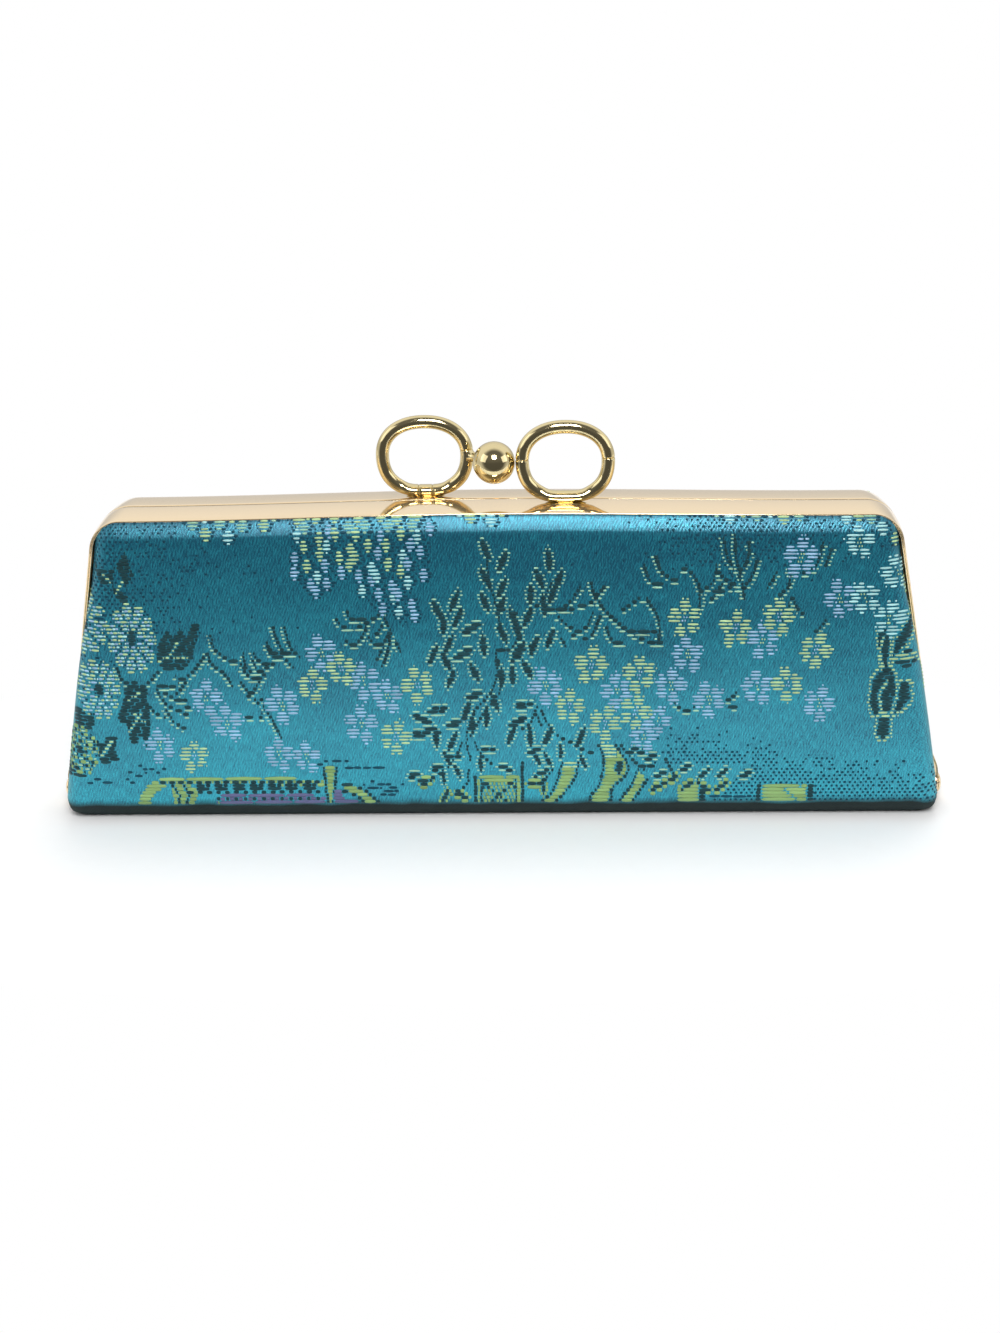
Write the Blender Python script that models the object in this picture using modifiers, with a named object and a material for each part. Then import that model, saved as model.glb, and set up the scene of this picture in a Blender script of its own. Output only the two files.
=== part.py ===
"""A hard glasses case: two padded brocade halves in a polished metal frame, hinged at the foot.

Metres, +Z up. X runs along the case, the front faces -Y, and the case stands on Z = 0.
The rear half stands still. The front half turns about the hinge axis, which runs along X.
"""

import math
from collections import namedtuple

import bmesh
import bpy
from mathutils import Matrix, Vector

# Clearances
GAP = 0.0003
FINE_GAP = 0.00025
OVERRUN = 0.001

# Frame, seen from the front
CREST_Z = 0.0600
ARCH_RISE = 0.00085
TOP_HALF_LENGTH = 0.0746
FOOT_HALF_LENGTH = 0.0844
CORNER_RADIUS = 0.0065

# Frame, across one half
BAND_DEPTH = 0.0095
BAND_FALL = 0.0005
ARM_FOOT_DEPTH = 0.0023
RIM_THICKNESS = 0.0005
LIP_HEIGHT = 0.0006
FLANGE_HEIGHT = 0.0012
EDGE_FOLD = 0.00005

# Hinge
HINGE_Z = 0.0030
EAR_RADIUS = 0.0026
EAR_THICKNESS = 0.0006
EAR_NECK = 0.0029
ARM_FOOT_RISE = 0.0042
ARM_STEP_RISE = 0.0090
REAR_STEP_SHARE = 0.43
WASHER_RADIUS = 0.0023
WASHER_THICKNESS = 0.0003
RIVET_RADIUS = 0.0009
RIVET_HOLE_RADIUS = 0.00105
RIVET_HEAD_RADIUS = 0.0019
RIVET_HEAD_HEIGHT = 0.0007
RIVET_TAIL_RADIUS = 0.0016
RIVET_TAIL_HEIGHT = 0.0004

# Padded halves
SHOULDER_DEPTH = 0.0106
FOOT_DEPTH = 0.0114
PANEL_CROWN = 0.0008
ROLL_WIDTH = 0.0045
FOOT_CORNER_RADIUS = 0.0040
SPINE_HALF_DEPTH = 0.0032
COVER_THICKNESS = 0.0005
PADDING_THICKNESS = 0.0012
BOARD_THICKNESS = 0.0010
LINING_THICKNESS = 0.0004
LEAST_ROLL = 0.0008
COVER_TUCK = 0.0012
BOARD_TUCK = 0.0030
LINING_TUCK = 0.0035
SPINE_END_INSET = 0.0074

# Channel cord
CORD_RADIUS = 0.0006

# Clasp
RING_LENGTH = 0.0182
RING_HEIGHT = 0.0151
RING_WIRE_RADIUS = 0.00115
RING_OFFSET_Y = 0.0030
RING_SQUARENESS = 2.25
BALL_RADIUS = 0.00385
BALL_Y = -0.0020
BALL_DROP = 0.0004
BALL_CLEARANCE = 0.00025
NECK_RADIUS = 0.0009
PIN_RADIUS = 0.0006
PIN_HOLE_RADIUS = 0.0009
PIN_SPACING = 0.0044
PIN_TAIL = 0.0004
BACKPLATE_LENGTH = 0.0080
BACKPLATE_DEPTH = 0.0032
BACKPLATE_THICKNESS = 0.0006
BACKPLATE_BEVEL = 0.00015

# Counts of points, rows and sides
ARM_STEPS = 3
CORNER_STEPS = 6
TOP_STEPS = 7
BAND_STEPS = 4
COVER_COLUMNS, COVER_ROWS, COVER_RINGS = 20, 15, 4
INNER_COLUMNS, INNER_ROWS, INNER_RINGS = 14, 11, 3
PADDING_FIRST_RING = 3
SHOULDER_SHARE = 0.9
SMOOTH_ANGLE = math.radians(35)
DOME_STEPS = 5
RING_POINTS = 36
ROUND_SIDES = 24
PIN_SIDES = 12
WIRE_RESOLUTION = 3
CORD_RESOLUTION = 1

# Heights and sides worked out from the sizes above
SIDE_FOOT_Z = HINGE_Z + ARM_FOOT_RISE
LEAN = math.atan2(FOOT_HALF_LENGTH - TOP_HALF_LENGTH, CREST_Z - SIDE_FOOT_Z)
SEAM = GAP / 2
SHELL_INSET = BAND_FALL + LIP_HEIGHT + FINE_GAP
BODY_TOP = CREST_Z - SHELL_INSET
EAR_STACK = EAR_THICKNESS + WASHER_THICKNESS + 2 * FINE_GAP
FRONT, REAR = -1, 1

Tray = namedtuple("Tray", "inset roll tuck columns rows rings")
RimPoint = namedtuple("RimPoint", "x z depth")


def side_x(z):
    """The frame's outer side line at height z."""
    return FOOT_HALF_LENGTH - (z - SIDE_FOOT_Z) * math.tan(LEAN)


def corner_centre(inset, radius, top):
    """Centre of the arc in a corner between the side line and the top or foot line, both moved in."""
    z = CREST_Z - inset - radius if top else radius
    return Vector((side_x(z) - (inset + radius) / math.cos(LEAN), z))


def corner_start_z():
    """Height at which the frame's side line runs into its rounded top corner."""
    return corner_centre(0, CORNER_RADIUS, True).y + CORNER_RADIUS * math.sin(LEAN)


def band_depth(z):
    """How far the frame reaches from the parting plane: narrow at the hinge, full at the top."""
    share = (z - SIDE_FOOT_Z) / (corner_start_z() - SIDE_FOOT_Z)
    return ARM_FOOT_DEPTH + (BAND_DEPTH - ARM_FOOT_DEPTH) * min(max(share, 0), 1)


def band_fall(depth):
    """How far the band's outer face has dropped at this distance from the parting plane."""
    return BAND_FALL * (depth / BAND_DEPTH) ** 2


def arch(x):
    """Rise of the frame's top at x."""
    reach = corner_centre(0, CORNER_RADIUS, True).x
    return ARCH_RISE * math.cos(math.pi / 2 * min(abs(x) / reach, 1)) ** 2


def band_z(x, y):
    """Height of the band's outer face on the top of the frame."""
    return CREST_Z + arch(x) - band_fall(abs(y))


def rim_line(ear_x):
    """Points of the frame's outer line from the ear on the +X side up and over to X = 0."""
    step_z = HINGE_Z + ARM_STEP_RISE
    points = [RimPoint(ear_x, z, ARM_FOOT_DEPTH) for z in (HINGE_Z, HINGE_Z + EAR_NECK)]
    top_z = corner_start_z()
    for step in range(ARM_STEPS + 1):
        z = step_z + (top_z - step_z) * step / ARM_STEPS
        points.append(RimPoint(side_x(z), z, band_depth(z)))
    centre = corner_centre(0, CORNER_RADIUS, True)
    for step in range(1, CORNER_STEPS + 1):
        angle = LEAN + (math.pi / 2 - LEAN) * step / CORNER_STEPS
        x = centre.x + CORNER_RADIUS * math.cos(angle)
        z = centre.y + CORNER_RADIUS * math.sin(angle)
        points.append(RimPoint(x, z, BAND_DEPTH))
    for step in range(1, TOP_STEPS + 1):
        x = centre.x * (1 - step / TOP_STEPS)
        points.append(RimPoint(x, CREST_Z + arch(x), BAND_DEPTH))
    return points


def outward(points, index):
    """Outward direction at a point of the frame's line, in the XZ plane."""
    before = points[max(index - 1, 0)]
    after = points[min(index + 1, len(points) - 1)]
    along = Vector((after.x - before.x, after.z - before.z)).normalized()
    if index == len(points) - 1:
        along = Vector((-1, 0))
    return Vector((along.y, -along.x))


def band_section(depth):
    """Closed section of the channel as (distance from the parting plane, drop) pairs."""
    near_ear = depth <= ARM_FOOT_DEPTH
    lip = RIM_THICKNESS + EDGE_FOLD if near_ear else LIP_HEIGHT
    flange = RIM_THICKNESS + EDGE_FOLD if near_ear else FLANGE_HEIGHT
    outer = [SEAM + (depth - SEAM) * step / BAND_STEPS for step in range(BAND_STEPS + 1)]
    wide = depth - RIM_THICKNESS
    narrow = SEAM + RIM_THICKNESS
    inner = [wide + (narrow - wide) * step / BAND_STEPS for step in range(BAND_STEPS + 1)]
    section = [(d, band_fall(d)) for d in outer]
    section += [(depth, band_fall(depth) + lip), (wide, band_fall(depth) + lip)]
    section += [(d, band_fall(d) + RIM_THICKNESS) for d in inner]
    section += [(narrow, flange), (SEAM, flange)]
    return section


def new_object(name, data, collection, material=None):
    """An object in a collection, smooth where its faces meet at a shallow angle."""
    obj = bpy.data.objects.new(name, data)
    collection.objects.link(obj)
    if material:
        data.materials.append(material)
    if obj.type == "MESH":
        data.shade_smooth()
        data.set_sharp_from_angle(angle=SMOOTH_ANGLE)
    return obj


def mesh_from(bm, name):
    """A mesh made from a bmesh, which is freed."""
    mesh = bpy.data.meshes.new(name)
    bm.to_mesh(mesh)
    bm.free()
    return mesh


def add_modifier(obj, name, kind, **settings):
    """A modifier with its settings."""
    modifier = obj.modifiers.new(name, kind)
    for key, value in settings.items():
        setattr(modifier, key, value)
    return modifier


def add_cylinder(bm, centre, axis, radius, length, sides):
    """A capped cylinder in a bmesh, centred on a point."""
    turn = Vector((0, 0, 1)).rotation_difference(Vector(axis)).to_matrix().to_4x4()
    bmesh.ops.create_cone(
        bm,
        cap_ends=True,
        segments=sides,
        radius1=radius,
        radius2=radius,
        depth=length,
        matrix=Matrix.Translation(centre) @ turn,
    )


def cylinders(name, rows, sides, collection):
    """A hidden guide object made of cylinders, each given as centre, axis, radius and length."""
    bm = bmesh.new()
    for centre, axis, radius, length in rows:
        add_cylinder(bm, centre, axis, radius, length, sides)
    obj = new_object(name, mesh_from(bm, name), collection)
    obj.hide_render = True
    obj.display_type = "WIRE"
    return obj


def wire(name, points, radius, resolution, cyclic, collection, material):
    """A round wire along a list of points, with its caps welded, as a mesh."""
    curve = bpy.data.curves.new(name, "CURVE")
    curve.dimensions = "3D"
    spline = curve.splines.new("POLY")
    spline.points.add(len(points) - 1)
    for target, point in zip(spline.points, points):
        target.co = (*point, 1)
    spline.use_cyclic_u = cyclic
    curve.bevel_depth = radius
    curve.bevel_resolution = resolution
    curve.use_fill_caps = not cyclic
    guide = bpy.data.objects.new(name + "_line", curve)
    collection.objects.link(guide)
    depsgraph = bpy.context.evaluated_depsgraph_get()
    mesh = bpy.data.meshes.new_from_object(guide.evaluated_get(depsgraph))
    bpy.data.objects.remove(guide)
    bm = bmesh.new()
    bm.from_mesh(mesh)
    bmesh.ops.remove_doubles(bm, verts=bm.verts, dist=GAP / 10)
    bm.to_mesh(mesh)
    bm.free()
    mesh.name = name
    return new_object(name, mesh, collection, material)


def frame_rim(name, side, parts, cutters, material):
    """One half of the metal frame: a folded channel over the top and down both arms, with an ear on each."""
    step_out = -EAR_STACK * REAR_STEP_SHARE if side == REAR else EAR_STACK * (1 - REAR_STEP_SHARE)
    ear_x = FOOT_HALF_LENGTH + step_out
    points = rim_line(ear_x)
    bm = bmesh.new()
    rows = []
    for index, point in enumerate(points):
        out = outward(points, index)
        section = band_section(point.depth)
        row = [
            bm.verts.new((point.x - out.x * drop, side * depth, point.z - out.y * drop))
            for depth, drop in section
        ]
        rows.append(row)
    for low, high in zip(rows, rows[1:]):
        for index in range(len(low)):
            after = (index + 1) % len(low)
            bm.faces.new((low[index], low[after], high[after], high[index]))
    bm.faces.new(rows[0])
    for vert in rows[-1]:
        vert.co.x = 0
    bmesh.ops.recalc_face_normals(bm, faces=bm.faces)
    rim = new_object(name, mesh_from(bm, name), parts, material)
    add_modifier(rim, "Both arms", "MIRROR", merge_threshold=GAP / 10)
    ear_middle = ear_x - RIM_THICKNESS / 2
    ends = (-1, 1)
    ears = [
        ((end * ear_middle, 0, HINGE_Z), (1, 0, 0), EAR_RADIUS, EAR_THICKNESS) for end in ends
    ]
    ear_discs = cylinders(name + "_ears", ears, ROUND_SIDES, cutters)
    add_modifier(rim, "Ears", "BOOLEAN", operation="UNION", object=ear_discs)
    holes = [
        ((end * ear_middle, 0, HINGE_Z), (1, 0, 0), RIVET_HOLE_RADIUS, EAR_THICKNESS + OVERRUN)
        for end in ends
    ]
    rivet_holes = cylinders(name + "_rivet_holes", holes, ROUND_SIDES, cutters)
    add_modifier(rim, "Rivet holes", "BOOLEAN", operation="DIFFERENCE", object=rivet_holes)
    pin_y = side * RING_OFFSET_Y
    pins = [
        ((x, pin_y, CREST_Z), (0, 0, 1), PIN_HOLE_RADIUS, 2 * ARCH_RISE + 2 * OVERRUN)
        for x in pin_places(side)
    ]
    pin_holes = cylinders(name + "_pin_holes", pins, PIN_SIDES, cutters)
    add_modifier(rim, "Pin holes", "BOOLEAN", operation="DIFFERENCE", object=pin_holes)
    return rim


def body_corner(inset, top, share):
    """Point on a rounded corner of a tray's outline: share 0 at the side line, 1 at the top or foot line."""
    radius = CORNER_RADIUS - SHELL_INSET if top else FOOT_CORNER_RADIUS
    left = max(radius - inset, 0)
    if top:
        centre = corner_centre(SHELL_INSET + inset, left, True)
    else:
        z = inset + left
        centre = Vector((side_x(z) - (SHELL_INSET + inset + left) / math.cos(LEAN), z))
    end = math.pi / 2 if top else -math.pi / 2
    angle = LEAN + (end - LEAN) * share
    return centre + left * Vector((math.cos(angle), math.sin(angle)))


def open_edge_depth(tray, z):
    """How far from the parting plane a tray's open edge lies: clear of the other half at the foot."""
    behind_lip = max(band_depth(z) - tray.tuck, SEAM + RIM_THICKNESS + GAP)
    spine_top = HINGE_Z + SPINE_HALF_DEPTH
    share = min(max((z - spine_top) / (SIDE_FOOT_Z - HINGE_Z), 0), 1)
    return SPINE_HALF_DEPTH + (behind_lip - SPINE_HALF_DEPTH) * share


def tray_point(tray, column, row):
    """A point of a tray's outer face as (x, distance from the parting plane, z)."""
    from_side = min(column, tray.columns - column)
    from_flat = min(row, tray.rows - row)
    rings = tray.rings
    ring = min(from_side, from_flat, rings)
    top = row > tray.rows / 2
    turn = math.pi / 2 * max(ring - 1, 0) / (rings - 1)
    inset = tray.inset + tray.roll * (1 - math.cos(turn))
    across = 2 * (column - rings) / (tray.columns - 2 * rings) - 1
    up = (row - rings) / (tray.rows - 2 * rings)
    if from_side >= rings and from_flat >= rings:
        low, high = body_corner(inset, False, 1).y, body_corner(inset, True, 1).y
        z = low + (high - low) * up
        place = Vector((abs(across) * (side_x(z) - (SHELL_INSET + inset) / math.cos(LEAN)), z))
    elif from_side < from_flat and from_flat >= rings:
        foot, head = body_corner(inset, False, 0), body_corner(inset, True, 0)
        place = foot + (head - foot) * up
    elif from_flat < from_side and from_side >= rings:
        place = body_corner(inset, top, 1)
        place.x *= abs(across)
    elif from_side <= from_flat:
        share = 0.5 * (rings - from_flat) / (rings - ring)
        place = body_corner(inset, top, share)
    else:
        share = 1 - 0.5 * (rings - from_side) / (rings - ring)
        place = body_corner(inset, top, share)
    face = FOOT_DEPTH + (SHOULDER_DEPTH - FOOT_DEPTH) * place.y / BODY_TOP - tray.inset
    edge = open_edge_depth(tray, place.y)
    if ring == 0:
        depth = edge
    else:
        drop = min(tray.roll, (face - edge) * SHOULDER_SHARE)
        crown = PANEL_CROWN * max(1 - across**4, 0) * max(1 - (2 * up - 1) ** 2, 0)
        depth = face - drop * (1 - math.sin(turn)) + crown
    x = math.copysign(place.x, column - tray.columns / 2)
    return Vector((x, depth, place.y + arch(x) * place.y / BODY_TOP))


def tray_mesh(name, side, tray, first_ring=0, sink=0):
    """The outer face of a tray, its normals pointing out of the case, sunk by a distance along them."""
    bm = bmesh.new()
    bmesh.ops.create_grid(bm, x_segments=tray.columns, y_segments=tray.rows, size=1)
    outer = []
    for vert in bm.verts:
        column = round((vert.co.x + 1) / 2 * tray.columns)
        row = round((vert.co.y + 1) / 2 * tray.rows)
        if min(column, tray.columns - column, row, tray.rows - row) < first_ring:
            outer.append(vert)
        x, depth, z = tray_point(tray, column, row)
        vert.co = (x, side * depth, z)
    if side == REAR:
        bmesh.ops.reverse_faces(bm, faces=bm.faces)
    bm.normal_update()
    for vert in bm.verts:
        vert.co -= vert.normal * sink
    bmesh.ops.delete(bm, geom=outer, context="VERTS")
    return mesh_from(bm, name)


def shell(name, mesh, thickness, parts, material):
    """A sheet of even thickness whose outer face is the given mesh."""
    obj = new_object(name, mesh, parts, material)
    add_modifier(obj, "Thickness", "SOLIDIFY", thickness=thickness, offset=-1, use_even_offset=True)
    return obj


def padded_half(prefix, side, parts, materials):
    """The four layers of one half, from the brocade outside to the lining inside."""
    cover = Tray(0, ROLL_WIDTH, COVER_TUCK, COVER_COLUMNS, COVER_ROWS, COVER_RINGS)
    pad_inset = COVER_THICKNESS + GAP
    board_inset = pad_inset + PADDING_THICKNESS + GAP
    lining_inset = board_inset + BOARD_THICKNESS + GAP
    inner_counts = (INNER_COLUMNS, INNER_ROWS, INNER_RINGS)
    board_roll = max(ROLL_WIDTH - board_inset, LEAST_ROLL)
    lining_roll = max(ROLL_WIDTH - lining_inset, LEAST_ROLL)
    board = Tray(board_inset, board_roll, BOARD_TUCK, *inner_counts)
    lining = Tray(lining_inset, lining_roll, LINING_TUCK, *inner_counts)
    layers = (
        ("_brocade_cover", cover, 0, 0, COVER_THICKNESS, "brocade"),
        ("_padding", cover, PADDING_FIRST_RING, pad_inset, PADDING_THICKNESS, "foam"),
        ("_shell_board", board, 0, 0, BOARD_THICKNESS, "board"),
        ("_lining", lining, 0, 0, LINING_THICKNESS, "lining"),
    )
    made = []
    for suffix, tray, first_ring, sink, thickness, material in layers:
        name = prefix + suffix
        mesh = tray_mesh(name, side, tray, first_ring, sink)
        made.append(shell(name, mesh, thickness, parts, materials[material]))
    return made


def channel_cord(name, side, parts, material):
    """Paper cord in the frame's channel, behind the edge of the cover."""
    beside_cover = COVER_TUCK + FINE_GAP + CORD_RADIUS
    drop = RIM_THICKNESS + FINE_GAP + CORD_RADIUS
    least_depth = SEAM + RIM_THICKNESS + FINE_GAP + CORD_RADIUS + beside_cover
    line = rim_line(FOOT_HALF_LENGTH)
    half = []
    for index, point in enumerate(line):
        if point.depth > least_depth:
            out = outward(line, index)
            depth = point.depth - beside_cover
            below = drop + band_fall(point.depth)
            half.append((point.x - out.x * below, side * depth, point.z - out.y * below))
    route = half + [(-x, y, z) for x, y, z in reversed(half[:-1])]
    return wire(name, route, CORD_RADIUS, CORD_RESOLUTION, False, parts, material)


def spine_strip(name, half_length, low_z, thickness, parts, material):
    """A flexible strip that bridges the foot between the halves."""
    bm = bmesh.new()
    bmesh.ops.create_cube(bm, size=1)
    size = Vector((2 * half_length, 2 * (SPINE_HALF_DEPTH - GAP), thickness))
    bmesh.ops.scale(bm, vec=size, verts=bm.verts)
    bmesh.ops.translate(bm, vec=(0, 0, low_z + thickness / 2), verts=bm.verts)
    return new_object(name, mesh_from(bm, name), parts, material)


def ring_centre(side):
    """Centre of a clasp ring: the rear one stands on the left, the front one on the right."""
    x = -side * (BALL_RADIUS + BALL_CLEARANCE + RING_LENGTH / 2)
    z = band_z(x, RING_OFFSET_Y) + FINE_GAP + RING_HEIGHT / 2
    return Vector((x, side * RING_OFFSET_Y, z))


def pin_places(side):
    """X of the two pins that hold a clasp ring."""
    x = ring_centre(side).x
    return (x - PIN_SPACING / 2, x + PIN_SPACING / 2)


def clasp_ring(name, side, parts, cutters, material):
    """An oval wire ring with two pins that go down through the frame."""
    centre = ring_centre(side)
    half_x = RING_LENGTH / 2 - RING_WIRE_RADIUS
    half_z = RING_HEIGHT / 2 - RING_WIRE_RADIUS
    points = []
    for step in range(RING_POINTS):
        angle = 2 * math.pi * step / RING_POINTS
        cosine, sine = math.cos(angle), math.sin(angle)
        x = math.copysign(abs(cosine) ** (2 / RING_SQUARENESS), cosine)
        z = math.copysign(abs(sine) ** (2 / RING_SQUARENESS), sine)
        points.append((centre.x + half_x * x, centre.y, centre.z + half_z * z))
    ring = wire(name, points, RING_WIRE_RADIUS, WIRE_RESOLUTION, True, parts, material)
    top = centre.z - RING_HEIGHT / 2 + RING_WIRE_RADIUS
    bottom = backplate_top(side) - BACKPLATE_THICKNESS - PIN_TAIL
    rows = [
        ((x, centre.y, (top + bottom) / 2), (0, 0, 1), PIN_RADIUS, top - bottom)
        for x in pin_places(side)
    ]
    pins = cylinders(name + "_pins", rows, PIN_SIDES, cutters)
    add_modifier(ring, "Pins", "BOOLEAN", operation="UNION", object=pins)
    return ring


def backplate_top(side):
    """Height of the upper face of the plate under the frame that the ring's pins are set in."""
    return band_z(ring_centre(side).x, RING_OFFSET_Y) - RIM_THICKNESS - GAP


def clasp_backplate(name, side, parts, cutters, material):
    """The plate under the frame that holds a ring's pins."""
    centre = ring_centre(side)
    bm = bmesh.new()
    bmesh.ops.create_cube(bm, size=1)
    size = Vector((BACKPLATE_LENGTH, BACKPLATE_DEPTH, BACKPLATE_THICKNESS))
    bmesh.ops.scale(bm, vec=size, verts=bm.verts)
    middle = backplate_top(side) - BACKPLATE_THICKNESS / 2
    bmesh.ops.translate(bm, vec=(centre.x, centre.y, middle), verts=bm.verts)
    plate = new_object(name, mesh_from(bm, name), parts, material)
    add_modifier(plate, "Worn edges", "BEVEL", width=BACKPLATE_BEVEL, segments=1)
    rows = [
        ((x, centre.y, middle), (0, 0, 1), PIN_HOLE_RADIUS, BACKPLATE_THICKNESS + OVERRUN)
        for x in pin_places(side)
    ]
    holes = cylinders(name + "_holes", rows, PIN_SIDES, cutters)
    add_modifier(plate, "Pin holes", "BOOLEAN", operation="DIFFERENCE", object=holes)
    return plate


def clasp_ball(name, parts, cutters, material):
    """The snap ball, on a short neck from the rear ring."""
    ring = ring_centre(REAR)
    centre = Vector((0, BALL_Y, ring.z - BALL_DROP))
    bm = bmesh.new()
    bmesh.ops.create_uvsphere(
        bm,
        u_segments=ROUND_SIDES,
        v_segments=ROUND_SIDES // 2,
        radius=BALL_RADIUS,
        matrix=Matrix.Translation(centre),
    )
    ball = new_object(name, mesh_from(bm, name), parts, material)
    wire_middle = ring + Vector((RING_LENGTH / 2 - RING_WIRE_RADIUS, 0, 0))
    toward = (centre - wire_middle).normalized()
    start = wire_middle + toward * (RING_WIRE_RADIUS + FINE_GAP)
    middle = (start + centre) / 2
    row = (middle, toward, NECK_RADIUS, (centre - start).length)
    neck = cylinders(name + "_neck", [row], PIN_SIDES, cutters)
    add_modifier(ball, "Neck", "BOOLEAN", operation="UNION", object=neck)
    return ball


def turned_about_hinge(name, end, profile, parts, material):
    """A turned piece on the hinge axis. The profile is (distance along the axis, radius), outer end first."""
    bm = bmesh.new()
    verts = [bm.verts.new((radius, 0, along)) for along, radius in profile]
    for first, second in zip(verts, verts[1:]):
        bm.edges.new((first, second))
    obj = new_object(name, mesh_from(bm, name), parts, material)
    obj.location = (0, 0, HINGE_Z)
    obj.rotation_euler = (0, end * math.pi / 2, 0)
    add_modifier(
        obj,
        "Turn",
        "SCREW",
        steps=ROUND_SIDES,
        render_steps=ROUND_SIDES,
        use_merge_vertices=True,
        merge_threshold=GAP / 10,
    )
    return obj


def ear_faces():
    """Outer face of the front ear and inner face of the rear ear, along X."""
    coin = (EAR_THICKNESS - RIM_THICKNESS) / 2
    front_outer = FOOT_HALF_LENGTH + EAR_STACK * (1 - REAR_STEP_SHARE) + coin
    return front_outer, front_outer - EAR_STACK - EAR_THICKNESS


def hinge_rivet(name, end, parts, material):
    """A rivet through both ears of one arm: domed head outside, flat tail inside."""
    front_outer, rear_inner = ear_faces()
    head = front_outer + FINE_GAP
    tail = rear_inner - FINE_GAP
    dome = [
        (head + RIVET_HEAD_HEIGHT * math.cos(turn), RIVET_HEAD_RADIUS * math.sin(turn))
        for turn in (math.pi / 2 * step / DOME_STEPS for step in range(DOME_STEPS + 1))
    ]
    profile = dome + [(head, RIVET_RADIUS), (tail, RIVET_RADIUS), (tail, RIVET_TAIL_RADIUS)]
    profile += [(tail - RIVET_TAIL_HEIGHT, RIVET_TAIL_RADIUS), (tail - RIVET_TAIL_HEIGHT, 0)]
    return turned_about_hinge(name, end, profile, parts, material)


def hinge_washer(name, end, parts, material):
    """A washer between the two ears of one arm."""
    front_outer, rear_inner = ear_faces()
    middle = (front_outer + rear_inner) / 2
    high, low = middle + WASHER_THICKNESS / 2, middle - WASHER_THICKNESS / 2
    profile = [
        (high, RIVET_HOLE_RADIUS),
        (high, WASHER_RADIUS),
        (low, WASHER_RADIUS),
        (low, RIVET_HOLE_RADIUS),
        (high, RIVET_HOLE_RADIUS),
    ]
    return turned_about_hinge(name, end, profile, parts, material)


def make_material(name, colour, roughness, metallic=0):
    """A plain Principled material."""
    material = bpy.data.materials.new(name)
    material.use_nodes = True
    shader = material.node_tree.nodes["Principled BSDF"]
    shader.inputs["Base Color"].default_value = (*colour, 1)
    shader.inputs["Roughness"].default_value = roughness
    shader.inputs["Metallic"].default_value = metallic
    return material


def collection_named(name):
    """A new collection in the scene."""
    collection = bpy.data.collections.new(name)
    bpy.context.scene.collection.children.link(collection)
    return collection


def main():
    """Builds the case."""
    for old in list(bpy.data.objects):
        bpy.data.objects.remove(old)
    parts = collection_named("glasses_case")
    cutters = collection_named("cutters")
    materials = {
        "gold": make_material("champagne_gold", (0.80, 0.62, 0.38), 0.12, 1),
        "steel": make_material("plated_steel", (0.60, 0.56, 0.50), 0.35, 1),
        "brocade": make_material("teal_brocade", (0.02, 0.22, 0.28), 0.45),
        "foam": make_material("foam_padding", (0.75, 0.70, 0.58), 0.95),
        "board": make_material("shell_board", (0.35, 0.26, 0.17), 0.85),
        "lining": make_material("satin_lining", (0.55, 0.45, 0.24), 0.60),
        "paper": make_material("paper_cord", (0.62, 0.50, 0.34), 0.90),
    }
    gold, steel = materials["gold"], materials["steel"]
    front_half = bpy.data.objects.new("front_half", None)
    front_half.location = (0, 0, HINGE_Z)
    parts.objects.link(front_half)
    moving = []
    for prefix, side in (("front", FRONT), ("rear", REAR)):
        half = padded_half(prefix, side, parts, materials)
        half.append(frame_rim(prefix + "_frame_rim", side, parts, cutters, gold))
        half.append(channel_cord(prefix + "_channel_cord", side, parts, materials["paper"]))
        half.append(clasp_ring(prefix + "_clasp_ring", side, parts, cutters, gold))
        half.append(clasp_backplate(prefix + "_clasp_backplate", side, parts, cutters, steel))
        if side == FRONT:
            moving = half
    clasp_ball("clasp_ball", parts, cutters, gold)
    for label, end in (("left", -1), ("right", 1)):
        hinge_rivet("hinge_rivet_" + label, end, parts, gold)
        hinge_washer("hinge_washer_" + label, end, parts, steel)
    lining_z = COVER_THICKNESS + PADDING_THICKNESS + BOARD_THICKNESS + 3 * GAP
    spine = FOOT_HALF_LENGTH - SPINE_END_INSET
    spine_strip("bottom_spine", spine, GAP, COVER_THICKNESS, parts, materials["brocade"])
    lining_half = spine - lining_z
    spine_strip("spine_lining", lining_half, lining_z, LINING_THICKNESS, parts, materials["lining"])
    bpy.context.view_layer.update()
    for obj in moving:
        obj.parent = front_half
        obj.matrix_parent_inverse = front_half.matrix_world.inverted()


main()
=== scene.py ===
"""Brocade glasses case: metal, cloth, clasp and stage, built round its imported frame.

Metres, +Z up. X runs along the case and the front half faces -Y.
Each half is a padded tray covered in satin brocade and held in a folded metal channel.
The brocade's pattern is woven from a chart: every coloured weft float is a small thread of its own.
"""

import math

import bmesh
import bpy
import numpy as np
from bpy.props import FloatProperty, FloatVectorProperty, IntProperty, PointerProperty
from mathutils import Matrix, Vector


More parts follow.
